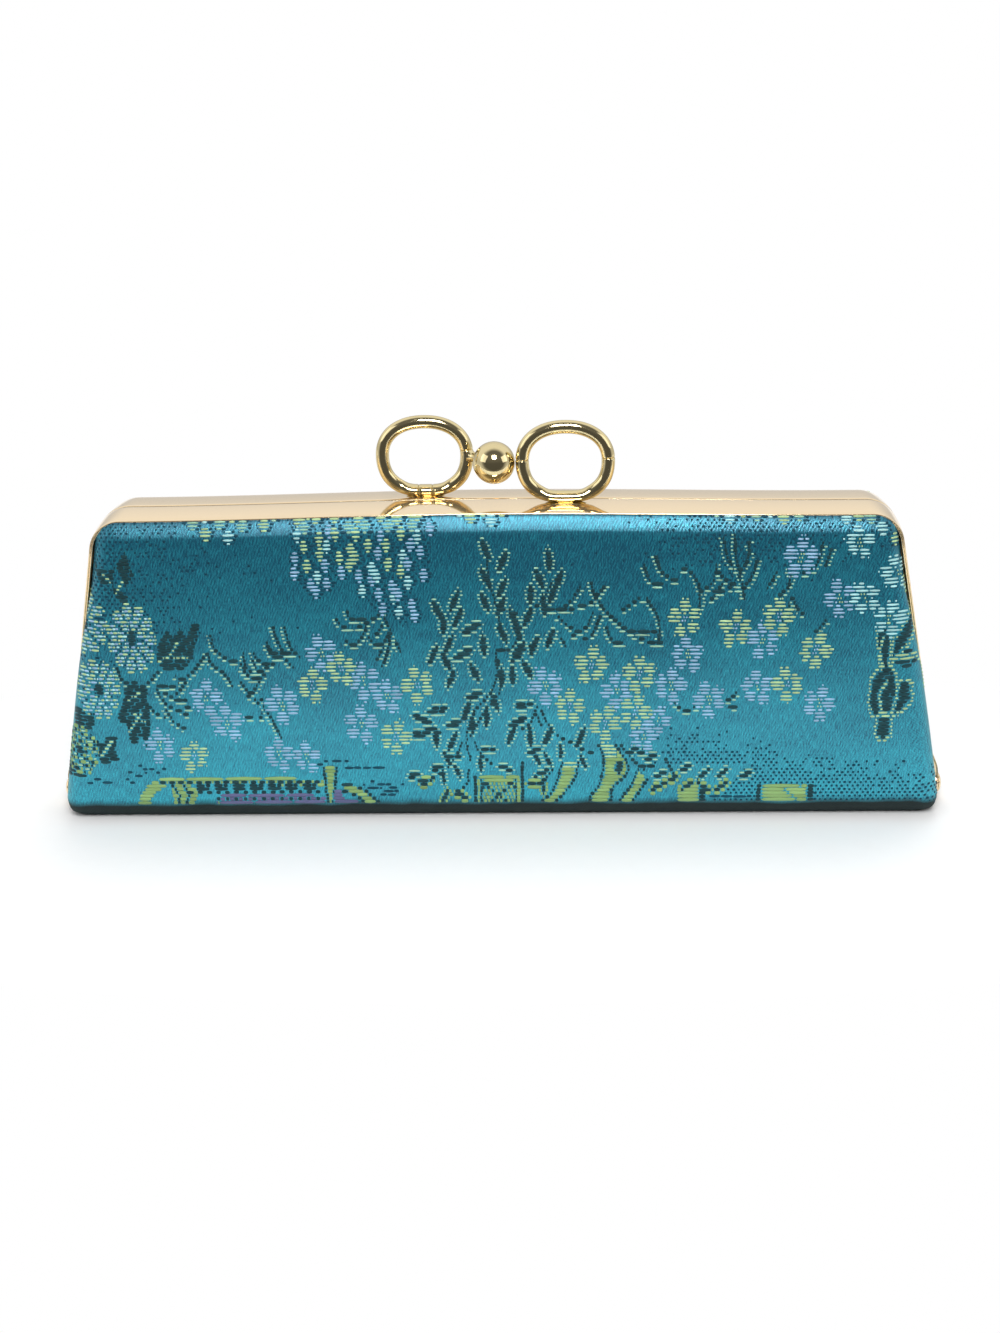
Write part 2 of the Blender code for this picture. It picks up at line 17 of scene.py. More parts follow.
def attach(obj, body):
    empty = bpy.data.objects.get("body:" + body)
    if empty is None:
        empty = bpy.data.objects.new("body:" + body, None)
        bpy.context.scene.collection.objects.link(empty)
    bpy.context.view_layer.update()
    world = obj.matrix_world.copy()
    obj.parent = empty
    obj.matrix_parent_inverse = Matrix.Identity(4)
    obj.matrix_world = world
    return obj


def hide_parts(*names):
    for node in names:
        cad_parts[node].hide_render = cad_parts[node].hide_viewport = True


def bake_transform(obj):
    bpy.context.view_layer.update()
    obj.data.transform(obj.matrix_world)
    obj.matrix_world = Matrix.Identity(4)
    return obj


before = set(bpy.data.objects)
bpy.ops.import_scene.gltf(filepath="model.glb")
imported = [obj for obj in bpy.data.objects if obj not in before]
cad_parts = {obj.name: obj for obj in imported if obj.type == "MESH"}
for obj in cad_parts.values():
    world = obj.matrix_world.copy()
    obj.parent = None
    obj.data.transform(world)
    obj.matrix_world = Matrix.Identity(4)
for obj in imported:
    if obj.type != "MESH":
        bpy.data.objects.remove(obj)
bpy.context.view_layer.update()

bl_info = {
    "name": "Brocade Glasses Case",
    "version": (1, 0, 0),
    "blender": (4, 5, 0),
    "location": "3D View > Sidebar > Glasses Case",
    "description": "Builds the metal frame, brocade, clasp and stage of a glasses case",
    "category": "Object",
}

MM = 0.001
FRONT, REAR = -1, 1
HALVES = (("front", FRONT), ("rear", REAR))
ENDS = (("left", -1), ("right", 1))
CLOTH_MAP = "cloth"

# Frame line, as in the frame's own solids
CREST_Z = 0.0600
ARCH_RISE = 0.00085
TOP_HALF_LENGTH = 0.0746
FOOT_HALF_LENGTH = 0.0844
CORNER_RADIUS = 0.0065
CORNER_Z = CREST_Z - CORNER_RADIUS
BAND_DEPTH = 0.0095
BAND_FALL = 0.0005
ARM_FOOT_DEPTH = 0.0023
ARM_STEP_RISE = 0.0090
SIDE_FOOT_Z = 0.0072
RIM_THICKNESS = 0.0005
SEAM = 0.00015
LEAN = math.atan2(FOOT_HALF_LENGTH - TOP_HALF_LENGTH, CREST_Z - SIDE_FOOT_Z)

# The frame's folded edges, as pairs of reach and drop: along the seam, and round the hem at the cloth
SEAM_CURL = ((0, 0.00032), (0.00005, 0.00017), (0.00015, 0.00008), (0.0003, 0.00002), (0.0005, 0))
HEM_CURL = (
    (0.00016, 0.00034), (0.00010, 0.00040), (0.00007, 0.00047), (0.00008, 0.00055),
    (0.00014, 0.00062), (0.00028, 0.00066), (0.00042, 0.00063), (0.00052, 0.00057),
)
HEM_END = (0.00056, 0.00005)
BEAD_RADIUS = 0.00017
FLANGE_DROP = 0.0007
BAND_MARGIN = 0.0003
INNER_MARGIN = 0.0008
LIP_RISE = 0.004
LEAST_LIP = 0.4
# Stations of the rim's section: over the crowned band, round the rolled edge in degrees, and back inside
BAND_SHARES = (0.15, 0.3, 0.5, 0.7, 0.86)
BEAD_ANGLES = (92, 65, 38, 10, -18, -46)
INNER_SHARES = (0.9, 0.6, 0.3, 0.0)

# Hinge
HINGE_Z = 0.0030
EAR_RADIUS = 0.0026
EAR_THICKNESS = 0.0006
EAR_NECK = 0.0029
EAR_STACK = 0.0014
EAR_BORE = 0.00105
EAR_EDGE = 0.00012
REAR_STEP_SHARE = 0.43
COIN = (EAR_THICKNESS - RIM_THICKNESS) / 2
HEAD_GAP = 0.00025
HEAD_RADIUS = 0.0019
HEAD_RISE = 0.0007
SHANK_RADIUS = 0.0009
# The rivet's closed end and the washer, as pairs of distance and radius
RIVET_TAIL = ((0, 0.0015), (0.00012, 0.0016), (0.0004, 0.00145), (0.0004, 0))
WASHER_SECTION = (
    (-0.00015, EAR_BORE), (-0.00015, 0.0022), (-0.00008, 0.0023), (0.00008, 0.0023),
    (0.00015, 0.0022), (0.00015, EAR_BORE), (-0.00015, EAR_BORE),
)

# Padded halves, with a value for the sides, the top and the foot where there are three
SHELL_INSET = 0.00135
TOP_INSET = 0.00072
BODY_TOP = CREST_Z - TOP_INSET
SHOULDER_DEPTH = 0.0110
FOOT_DEPTH = 0.0114
PANEL_CROWN = 0.0008
RIPPLE = 0.00008
SWELL_START = 0.0003
SWELL_FULL = 0.0026
ROLL_WIDTHS = (0.0036, 0.0030, 0.0042)
LEAST_ROLL = 0.0008
ROLL_CREASES = (1.0, 1.75, 1.7)
ROLL_ARC_SHARES = (1.30, 1.14, 1.45)
SHOULDER_SHARES = (0.98, 0.56, 0.98)
SPINE_HALF_DEPTH = 0.0032
TOP_ARC = 0.00065
GAP = 0.0003

# Layers: how far each lies inside the cover and is tucked behind the frame's lip, and its thickness
COVER_TUCK = 0.0012
COVER_THICKNESS = 0.0005
PAD_INSET = 0.0008
PAD_THICKNESS = 0.0012
LINING_INSET = 0.0036
LINING_TUCK = 0.0035
LINING_THICKNESS = 0.0004

# The lining's hem: its distance from the frame, from the foot and from the ears, which stand below a height
HEM_CLEARANCE = 0.0002
FOOT_CLEARANCE = 0.0006
EAR_CLEARANCE = 0.0013
EAR_TOP = (0.008, 0.014)
WALL_CLOTH = 0.002
HEM_CLOTH = 0.004

# Clasp
RING_LENGTH = 0.0182
RING_HEIGHT = 0.0151
RING_OFFSET_Y = 0.0030
RING_WIRE = 0.00115
RING_SEAT = 0.00028
RING_GAP = 0.00025
RING_SQUARENESS = 2.2
FOOT_BEND = 0.0003
FOOT_RISE = 0.004
# Each ring's butt joints in degrees round it, and their groove: depth as a share of the wire, width and
# stations round the ring in radians
RING_JOINTS = {"front": (4, 178), "rear": (262, 278, 8)}
JOINT_DEPTH = 0.13
JOINT_WIDTH = 0.011
JOINT_STATIONS = (-0.03, -0.016, -0.008, 0, 0.008, 0.016, 0.03)
JOINT_ROOM = 0.05
# How much thinner and wider the wire is where it is pressed flat
PRESSED_THINNER = 0.12
PRESSED_WIDER = 0.35
PIN_SPACING = 0.0044
PIN_RADIUS = 0.0006
PIN_LENGTH = 0.0019
SOLDER_RADII = (PIN_SPACING * 0.88, 0.00150, 0.00036)
SOLDER_OFFSET = (0.0004, 0.0003)
BALL_RADIUS = 0.00385
BALL_SKIN = 0.0001
BALL_Y = -0.0020
BALL_DROP = 0.0004
NECK_RADIUS = 0.0009


# Sizes and colours that a user would change


def length_property(name, description, default):
    """A length that can be changed in the panel."""
    return FloatProperty(name=name, description=description, default=default, unit="LENGTH")


class CaseSizes(bpy.types.PropertyGroup):
    """Sizes of the pieces that finish the frame."""

    row_pitch: length_property("Row pitch", "Distance between two rows of coloured weft", 0.0007)
    column_pitch: length_property("Column pitch", "Width of one step in the weave chart", 0.00025)
    longest_float: length_property("Longest float", "Longest stretch of weft between two ties", 0.0026)
    thread_width: length_property("Thread width", "Width of a weft float on the cloth", 0.00043)
    thread_height: length_property("Thread height", "How far a float stands proud of the satin", 0.00017)
    swell: length_property("Side swell", "How far the padding pushes the cloth out beside the arms", 0.0009)
    wire_radius: length_property("Ring wire", "Radius of the clasp rings' wire", 0.00126)
    ring_sides: IntProperty(name="Wire sides", description="Sides of the clasp rings' wire", default=20)


def colour_property(name, description, colour):
    """A colour that can be changed in the panel."""
    return FloatVectorProperty(
        name=name, description=description, subtype="COLOR", size=3, min=0, max=1, default=colour
    )


class CaseColours(bpy.types.PropertyGroup):
    """Colours of the case's materials."""

    satin: colour_property("Satin", "Ground of the brocade", (0.006, 0.142, 0.252))
    satin_light: colour_property("Satin light", "Sheen of the brocade's warp", (0.032, 0.455, 0.595))
    lime: colour_property("Lime thread", "Yellow-green weft", (0.430, 0.610, 0.290))
    lilac: colour_property("Lilac thread", "Pale blue weft", (0.290, 0.480, 0.680))
    sage: colour_property("Sage thread", "Pale green weft round the leaves", (0.320, 0.570, 0.390))
    dark: colour_property("Dark thread", "Navy to black-green weft", (0.010, 0.050, 0.060))
    navy: colour_property("Navy thread", "Fine dots and shadows in the pattern", (0.005, 0.060, 0.095))
    pale: colour_property("Pale thread", "Pale sea-green weft", (0.400, 0.720, 0.720))
    purple: colour_property("Purple thread", "Muted purple weft", (0.120, 0.130, 0.260))
    moss: colour_property("Moss thread", "Flat green-gold areas at the foot", (0.240, 0.400, 0.150))
    gold: colour_property("Gold", "Plating of the frame", (0.730, 0.550, 0.330))
    clasp_light: colour_property("Clasp light", "Plating of the clasp, seen square on", (0.760, 0.640, 0.360))
    # Painted shade: the clasp's colour where its surface turns away from the eye
    clasp_deep: colour_property("Clasp deep", "Plating of the clasp, turned away", (0.380, 0.285, 0.100))
    steel: colour_property("Steel", "Back plates and washers", (0.560, 0.530, 0.480))
    lining: colour_property("Lining", "Satin inside the case", (0.520, 0.400, 0.180))
    foam: colour_property("Foam", "Padding under the brocade", (0.740, 0.690, 0.560))
    board: colour_property("Board", "Stiff shell of each half", (0.380, 0.280, 0.180))
    paper: colour_property("Paper cord", "Cord in the frame's channel", (0.620, 0.500, 0.340))


def sizes():
    """The scene's sizes."""
    return bpy.context.scene.glasses_case_sizes


def colour_of(name):
    """One of the scene's colours."""
    return tuple(getattr(bpy.context.scene.glasses_case_colours, name))


# Materials: noise and waves are scaled per metre of the object, or per millimetre of cloth


class Value:
    """A number in a node tree, for plain arithmetic."""

    def __init__(self, nodes, socket):
        self.nodes = nodes
        self.socket = socket

    def maths(self, operation, *others, clamp=False):
        """The result of a maths operation on this value and others."""
        settings = {"operation": operation, "use_clamp": clamp}
        node = self.nodes.node("ShaderNodeMath", settings, dict(enumerate((self, *others))))
        return Value(self.nodes, node.outputs[0])

    def __add__(self, other):
        return self.maths("ADD", other)

    def __mul__(self, other):
        return self.maths("MULTIPLY", other)

    def __sub__(self, other):
        return self.maths("SUBTRACT", other)

    def __rsub__(self, other):
        return (self * -1) + other

    def __truediv__(self, other):
        return self.maths("DIVIDE", other)

    def __pow__(self, other):
        return self.maths("POWER", other)

    def __gt__(self, other):
        return self.maths("GREATER_THAN", other)

    __radd__ = __add__
    __rmul__ = __mul__

    def sine(self):
        """Sine of this value."""
        return self.maths("SINE")

    def clamped(self):
        """This value held between 0 and 1."""
        return self.maths("ADD", 0, clamp=True)


class Nodes:
    """A node tree that is built node by node."""

    def __init__(self, tree):
        self.tree = tree

    def set(self, node, inputs):
        """Sets or links the sockets of a node, named or numbered."""
        for key, value in inputs.items():
            socket = node.inputs[key]
            if isinstance(value, Value):
                self.tree.links.new(value.socket, socket)
            elif isinstance(value, bpy.types.NodeSocket):
                self.tree.links.new(value, socket)
            elif socket.type == "RGBA":
                socket.default_value = (*value, 1)
            else:
                socket.default_value = value

    def node(self, kind, settings=None, inputs=None):
        """A node with its settings and then its sockets."""
        node = self.tree.nodes.new(kind)
        for key, value in (settings or {}).items():
            setattr(node, key, value)
        self.set(node, inputs or {})
        return node

    def value(self, kind, output, settings=None, inputs=None):
        """One output of a new node, for arithmetic."""
        return Value(self, self.node(kind, settings, inputs).outputs[output])


class Finish(Nodes):
    """A material built from nodes round one Principled shader."""

    def __init__(self, name, **constants):
        self.material = bpy.data.materials.new(name)
        self.material.use_nodes = True
        super().__init__(self.material.node_tree)
        self.shader = self.tree.nodes["Principled BSDF"]
        self.set(self.shader, {key.replace("_", " "): value for key, value in constants.items()})

    def place(self, uv_map=None):
        """Object coordinates, or a UV map that holds millimetres of cloth, as three values."""
        if uv_map:
            vector = self.node("ShaderNodeUVMap", {"uv_map": uv_map}).outputs[0]
        else:
            vector = self.node("ShaderNodeTexCoord").outputs["Object"]
        parts = self.node("ShaderNodeSeparateXYZ", inputs={0: vector})
        return [Value(self, output) for output in parts.outputs]

    def noise(self, x, y, z, detail=2.0, roughness=0.5):
        """Noise between 0 and 1 with cells of about one unit."""
        vector = self.node("ShaderNodeCombineXYZ", inputs={0: x, 1: y, 2: z}).outputs[0]
        inputs = {"Vector": vector, "Scale": 1.0, "Detail": detail, "Roughness": roughness}
        return self.value("ShaderNodeTexNoise", "Fac", inputs=inputs)

    def mix(self, factor, first, second):
        """A colour between two colours."""
        settings = {"data_type": "RGBA", "clamp_factor": True}
        return self.node("ShaderNodeMix", settings, {0: factor, 6: first, 7: second}).outputs[2]

    def finish(self, colour, rough=None, height=None, relief=0.0):
        """Links what varies over the surface, and gives the material."""
        inputs = {"Base Color": colour}
        if rough is not None:
            inputs["Roughness"] = rough
        if height is not None:
            bump = {"Height": height, "Distance": relief, "Strength": 1.0}
            inputs["Normal"] = self.node("ShaderNodeBump", inputs=bump).outputs["Normal"]
        self.set(self.shader, inputs)
        return self.material


def darker(colour, share):
    """A colour scaled by a share."""
    return tuple(channel * share for channel in colour)


def polished_gold():
    """Pale gold plating, a little wavy, with faint wiped-in mottling."""
    red, green, blue = colour_of("gold")
    paint = Finish("polished_gold", Metallic=1.0)
    x, y, z = paint.place()
    mottle = paint.noise(x * 260, y * 420, z * 260, detail=3)
    fine = paint.noise(x * 2600, y * 5200, z * 2600, detail=2)
    wear = paint.noise(x * 900 + 7, y * 900, z * 900, detail=4)
    warm, pale = (red, green * 0.96, blue * 0.86), (red, green * 1.03, blue * 1.10)
    rough = 0.04 + 0.09 * mottle + 0.05 * wear
    colour = paint.mix((mottle - 0.35) * 2.2, warm, pale)
    return paint.finish(colour, rough, 0.6 * mottle + 0.06 * fine, 0.00004)


def clasp_gold():
    """Paler, greener gold of the clasp, deeper where it turns away from the eye as painted shade."""
    paint = Finish("clasp_gold", Metallic=1.0)
    x, y, z = paint.place()
    mottle = paint.noise(x * 300, y * 300, z * 300, detail=3)
    pits = paint.noise(x * 1500, y * 1500, z * 1500, detail=2)
    # Painted shade: the colour deepens where the surface turns away from the eye, plus random mottling
    edge = paint.value("ShaderNodeLayerWeight", "Facing", inputs={"Blend": 0.5})
    painted_shade_and_mottle = ((edge - 0.45) * 1.9).clamped() + (mottle - 0.5) * 0.5
    colour = paint.mix(painted_shade_and_mottle, colour_of("clasp_light"), colour_of("clasp_deep"))
    return paint.finish(colour, 0.05 + 0.08 * mottle, mottle + 0.1 * pits, 0.00005)


def satin_steel():
    """Plated steel with a fine drawn grain."""
    steel = colour_of("steel")
    paint = Finish("satin_steel", Metallic=1.0)
    x, y, z = paint.place()
    grain = paint.noise(x * 600, y * 9000, z * 9000, detail=3)
    stain = paint.noise(x * 400, y * 400, z * 400, detail=4)
    return paint.finish(paint.mix(stain, darker(steel, 0.78), steel), 0.28 + 0.22 * grain, grain, 0.00002)


def brocade_satin():
    """Warp-faced satin: streaks along the warp, a faint twill and rib, lighter towards the foot with painted
    light from the table, and darker at the foot and the lip with painted shade.
    """
    base, light = colour_of("satin"), colour_of("satin_light")
    paint = Finish("brocade_satin", Metallic=0.5, Specular_IOR_Level=1.0, Anisotropic=0.4)
    paint.set(paint.shader, {"Specular Tint": (0.90, 1.0, 0.80)})
    u, v, _ = paint.place(CLOTH_MAP)
    streak = paint.noise(u * 4.6, v * 0.55, 0.0, detail=2)
    speckle = paint.noise(u * 4.2, v * 2.6, 3.0, detail=1)
    drift = paint.noise(u * 0.05, v * 0.09, 9.0, detail=2)
    twill = (u * 9.4 - v * 5.2).sine()
    rib = (v * 9.0).sine() * (u * 12.6 + v * 4.5).sine()
    # The tone falls with height up the cloth, so the satin is lighter towards the foot: painted light from
    # the white table in front
    tone = (speckle - 0.5) * 1.0 + (streak - 0.5) * 1.35 + twill * 0.08 + rib * 0.16 - v * 0.008
    colour = paint.mix((tone + 0.61 + (drift - 0.5) * 0.5).clamped(), darker(base, 0.70), light)
    # Painted shade: along a wavering line, the satin turns near-black and rougher towards the foot's
    # under-roll
    wander = (paint.noise(u * 0.10, 0.0, 5.0, detail=2) - 0.5) * 2.8
    clear_of_foot_shade = ((v + wander - 3.1) / 1.7).clamped()
    # Painted shade: the satin darkens and roughens towards the lip, where the roll turns in under the frame
    lip = ((v + u * u * 0.000153 - 59.1) / 1.2).clamped()
    colour = paint.mix(clear_of_foot_shade, darker(base, 0.09), paint.mix(lip * 0.6, colour, darker(base, 0.5)))
    rough = 0.285 + 0.10 * speckle + 0.05 * streak + (1 - clear_of_foot_shade) * 0.4 + lip * 0.2
    return paint.finish(colour, rough, 0.5 * speckle + 0.6 * streak + 0.15 * twill + 0.12 * rib, 0.00005)


def silk_thread(label, gloss):
    """Untwisted silk weft: each float has its own shade and fine fibres along it."""
    colour = colour_of(label)
    paint = Finish(label + "_silk", Specular_IOR_Level=gloss, Sheen_Weight=gloss * 0.3)
    shade = paint.value("ShaderNodeAttribute", "Fac", {"attribute_name": "shade"})
    x, y, z = paint.place()
    fibre = paint.noise(x * 900, y * 9000, z * 9000, detail=1)
    tone = (shade * 0.75 + fibre * 0.35).clamped()
    mixed = paint.mix(tone, darker(colour, 0.62), tuple(min(1, channel * 1.22) for channel in colour))
    return paint.finish(mixed, 0.34 + 0.2 * fibre, fibre, 0.00003)


def lining_satin():
    """Plain satin lining with soft creases, darker in their hollows as painted shade."""
    colour = colour_of("lining")
    paint = Finish("lining_satin", Sheen_Weight=0.3, Anisotropic=0.4)
    u, v, _ = paint.place(CLOTH_MAP)
    streak = paint.noise(u * 4.0, v * 0.5, 1.0, detail=2)
    crease = paint.noise(u * 0.08, v * 0.30, 5.0, detail=3)
    weave = ((u * 14).sine() * (v * 12).sine() + 1) * 0.5
    # The colour follows the bump: warp streaks, and painted shade in the creases' hollows
    mixed = paint.mix(streak * 0.7 + crease * 0.4, darker(colour, 0.70), colour)
    return paint.finish(mixed, 0.36 + 0.2 * streak, 0.2 * streak + 0.2 * weave + 1.6 * crease, 0.00010)


def foam_padding():
    """Open-celled foam."""
    colour = colour_of("foam")
    paint = Finish("foam_padding", Roughness=0.95, Sheen_Weight=0.2)
    x, y, z = paint.place()
    cells = paint.noise(x * 2600, y * 2600, z * 2600, detail=3)
    return paint.finish(paint.mix(cells, darker(colour, 0.72), colour), height=cells, relief=0.00015)


def shell_board():
    """Grey-brown pressed board with fibres."""
    colour = colour_of("board")
    paint = Finish("shell_board", Specular_IOR_Level=0.25)
    x, y, z = paint.place()
    fibre = paint.noise(x * 900, y * 2600, z * 1500, detail=5, roughness=0.65)
    fleck = paint.noise(x * 2200 + 5, y * 2200, z * 2200, detail=1)
    mixed = paint.mix(fibre * 0.8 + (fleck > 0.66) * 0.3, darker(colour, 0.66), colour)
    return paint.finish(mixed, 0.78 + 0.15 * fibre, fibre, 0.00006)


def paper_cord():
    """Twisted kraft paper cord."""
    colour = colour_of("paper")
    paint = Finish("paper_cord", Specular_IOR_Level=0.2)
    x, y, z = paint.place()
    twist = ((x * 5200 + y * 5200 + z * 5200).sine() + 1) * 0.5
    fibre = paint.noise(x * 1800, y * 1800, z * 1800, detail=4)
    mixed = paint.mix(twist * 0.6 + fibre * 0.4, darker(colour, 0.62), colour)
    return paint.finish(mixed, 0.82 + 0.1 * fibre, twist, 0.00010)


def finish_of(maker):
    """A material from its maker, made once."""
    return bpy.data.materials.get(maker.__name__) or maker()


# Meshes


def mesh_from(bm, name):
    """A mesh made from a bmesh, which is freed."""
    mesh = bpy.data.meshes.new(name)
    bm.to_mesh(mesh)
    bm.free()
    return mesh


def mapped_grid(name, columns, rows, place, chart=None, close=0.0):
    """A grid whose points are placed by their column and row, and closed into a solid where asked."""
    bm = bmesh.new()
    bmesh.ops.create_grid(bm, x_segments=columns, y_segments=rows, size=1)
    flat = np.array([vert.co[:2] for vert in bm.verts])
    column = np.rint((flat[:, 0] + 1) / 2 * columns).astype(int)
    row = np.rint((flat[:, 1] + 1) / 2 * rows).astype(int)
    if chart:
        places = chart(column, row)
        layer = bm.loops.layers.uv.new(CLOTH_MAP)
        bm.verts.index_update()
        for loop in (loop for face in bm.faces for loop in face.loops):
            loop[layer].uv = places[loop.vert.index]
    for vert, point in zip(bm.verts, place(column, row)):
        vert.co = point
    if close:
        bmesh.ops.remove_doubles(bm, verts=bm.verts, dist=close)
        rims = [edge for edge in bm.edges if edge.is_boundary]
        if rims:
            bmesh.ops.holes_fill(bm, edges=rims, sides=0)
        bmesh.ops.recalc_face_normals(bm, faces=bm.faces)
    return mesh_from(bm, name)


def joined(name, meshes):
    """One mesh made of several."""
    bm = bmesh.new()
    for mesh in meshes:
        bm.from_mesh(mesh)
        bpy.data.meshes.remove(mesh)
    return mesh_from(bm, name)


def smooth_object(name, mesh, material, thickness=0.0):
    """A shaded object in its colour slot, thickened on its inner side if it is a sheet."""
    obj = bpy.data.objects.new(name, mesh)
    bpy.context.scene.collection.objects.link(obj)
    mesh.materials.append(material)
    mesh.shade_smooth()
    if thickness:
        solid = obj.modifiers.new("Thickness", "SOLIDIFY")
        solid.thickness = thickness
        solid.offset = -1
        solid.use_even_offset = True
    return obj


def piece(name, mesh, material, body, replaces=(), thickness=0.0):
    """A finished piece that rides on a body and stands for CAD nodes."""
    obj = smooth_object(name, mesh, material, thickness)
    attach(obj, body)
    if replaces:
        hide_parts(*replaces)
    return obj


def metal_piece(name, mesh, material, body, node):
    """A metal piece with crisp edges."""
    obj = piece(name, mesh, material, body, [node])
    mesh.set_sharp_from_angle(angle=math.radians(50))
    return obj


def turned(name, profile, end):
    """A piece turned about the hinge's axis from (distance from the middle, radius) pairs, at one end."""
    bm = bmesh.new()
    verts = [bm.verts.new((end * along, 0, radius)) for along, radius in profile]
    edges = [bm.edges.new(pair) for pair in zip(verts, verts[1:])]
    spin = {"cent": (0, 0, 0), "axis": (1, 0, 0), "angle": 2 * math.pi, "steps": 48, "use_merge": True}
    bmesh.ops.spin(bm, geom=verts + edges, **spin)
    bmesh.ops.remove_doubles(bm, verts=bm.verts, dist=1e-6)
    bmesh.ops.recalc_face_normals(bm, faces=bm.faces)
    bmesh.ops.translate(bm, vec=(0, 0, HINGE_Z), verts=bm.verts)
    return mesh_from(bm, name)


def smooth_step(value, low, high):
    """0 below low, 1 above high, smooth between."""
    share = np.clip((value - low) / (high - low), 0, 1)
    return share * share * (3 - 2 * share)


def unit_circle(angles):
    """Points on a circle of radius 1, as a row for each angle."""
    return np.stack([np.cos(angles), np.sin(angles)], 1)


def right_hand_way(line):
    """Unit vectors square to a line through points, on its right-hand side."""
    along = np.gradient(line, axis=0)
    along /= np.linalg.norm(along, axis=1)[:, None]
    return np.stack([along[:, 1], -along[:, 0]], 1)


# The frame's line


def side_x(z):
    """The frame's outer side line at height z."""
    return FOOT_HALF_LENGTH - (z - SIDE_FOOT_Z) * math.tan(LEAN)


# Middle of the top corner, and where the straight side ends at it
TOP_CORNER_X = side_x(CORNER_Z) - CORNER_RADIUS / math.cos(LEAN)
SIDE_TOP_Z = CORNER_Z + CORNER_RADIUS * math.sin(LEAN)


def band_depth(z):
    """How far the frame reaches from the parting plane at height z."""
    share = np.clip((z - SIDE_FOOT_Z) / (SIDE_TOP_Z - SIDE_FOOT_Z), 0, 1)
    return ARM_FOOT_DEPTH + (BAND_DEPTH - ARM_FOOT_DEPTH) * share


def arch(x):
    """Rise of the frame's top at x."""
    return ARCH_RISE * np.cos(math.pi / 2 * np.clip(np.abs(x) / TOP_CORNER_X, 0, 1)) ** 2


def band_fall(reach):
    """How far the crowned band has fallen at a distance from the parting plane."""
    return BAND_FALL * (reach / BAND_DEPTH) ** 2


def rim_stations(ear_x):
    """The frame's outer line from ear to ear as places, ways out, depths and lip shares."""
    low, step_z = HINGE_Z + EAR_NECK, HINGE_Z + ARM_STEP_RISE
    heights = np.concatenate([np.linspace(HINGE_Z, low, 4), np.linspace(low, step_z, 10)[1:]])
    blend = smooth_step(heights, low, step_z)
    rise = np.linspace(step_z, SIDE_TOP_Z, 26)[1:]
    turn = np.linspace(LEAN, math.pi / 2, 20)[1:]
    flat = np.linspace(TOP_CORNER_X, 0, 42)[1:]
    half = np.concatenate([
        np.stack([ear_x + (side_x(step_z) - ear_x) * blend, heights], 1),
        np.stack([side_x(rise), rise], 1),
        np.array([TOP_CORNER_X, CORNER_Z]) + CORNER_RADIUS * unit_circle(turn),
        np.stack([flat, CREST_Z + arch(flat)], 1),
    ])
    line = np.concatenate([half, (half * (-1, 1))[-2::-1]])
    depth = np.where(line[:, 1] < low + 0.0001, ARM_FOOT_DEPTH, band_depth(line[:, 1]))
    return line, right_hand_way(line), depth, smooth_step(line[:, 1], low, step_z + LIP_RISE)


def rim_section(depth, lip):
    """Closed section of the folded channel as (reach, drop) pairs: crowned band, rolled edge, hem, flange."""
    fall = band_fall(depth)
    scale = LEAST_LIP + (1 - LEAST_LIP) * lip
    flange = RIM_THICKNESS + FLANGE_DROP * lip
    inner = SEAM + RIM_THICKNESS
    points = [(SEAM, flange), *((SEAM + reach, drop) for reach, drop in SEAM_CURL)]
    for share in BAND_SHARES:
        reach = SEAM + (depth - BAND_MARGIN - SEAM) * share
        points.append((reach, band_fall(reach)))
    for angle in np.radians(BEAD_ANGLES):
        low = fall + BEAD_RADIUS * (1 - math.sin(angle)) * scale
        points.append((depth - BEAD_RADIUS * (1 - math.cos(angle)), low))
    points += [(depth - back, fall + drop * scale) for back, drop in HEM_CURL]
    points.append((depth - HEM_END[0], fall + RIM_THICKNESS + HEM_END[1]))
    for share in INNER_SHARES:
        reach = inner + (depth - INNER_MARGIN - inner) * share
        points.append((reach, band_fall(reach) + RIM_THICKNESS))
    return [*points, (inner, flange), points[0]]


def ear_x(side):
    """Outer face of a rim's ear."""
    share = -REAR_STEP_SHARE if side == REAR else 1 - REAR_STEP_SHARE
    return FOOT_HALF_LENGTH + EAR_STACK * share


def rim_mesh(name, side):
    """One half of the frame, with a pressed ear at each end."""
    outer = ear_x(side)
    line, out, depth, lip = rim_stations(outer)
    sections = np.array([rim_section(*pair) for pair in zip(depth, lip)])

    def place(column, row):
        reach, drop = sections[row, column].T
        x, z = (line[row] - out[row] * drop[:, None]).T
        return np.stack([x, side * reach, z], 1)

    channel = mapped_grid(name, sections.shape[1] - 1, len(line) - 1, place, close=2e-6)
    face = outer + COIN
    back = face - EAR_THICKNESS
    profile = (
        (back, EAR_BORE), (back, EAR_RADIUS - EAR_EDGE), (back + EAR_EDGE, EAR_RADIUS),
        (face - EAR_EDGE, EAR_RADIUS), (face, EAR_RADIUS - EAR_EDGE), (face, EAR_BORE + EAR_EDGE),
        (face - EAR_EDGE, EAR_BORE), (back, EAR_BORE),
    )
    return joined(name, [channel, *(turned(name + "_ear", profile, end) for _, end in ENDS)])


# Clasp


def ring_centre(side):
    """Centre of a clasp ring: the rear one stands on the left, the front one on the right."""
    x = -side * (BALL_RADIUS + RING_GAP + RING_LENGTH / 2)
    band_top = CREST_Z + float(arch(x)) - band_fall(RING_OFFSET_Y)
    return Vector((x, side * RING_OFFSET_Y, band_top + RING_GAP + RING_HEIGHT / 2))


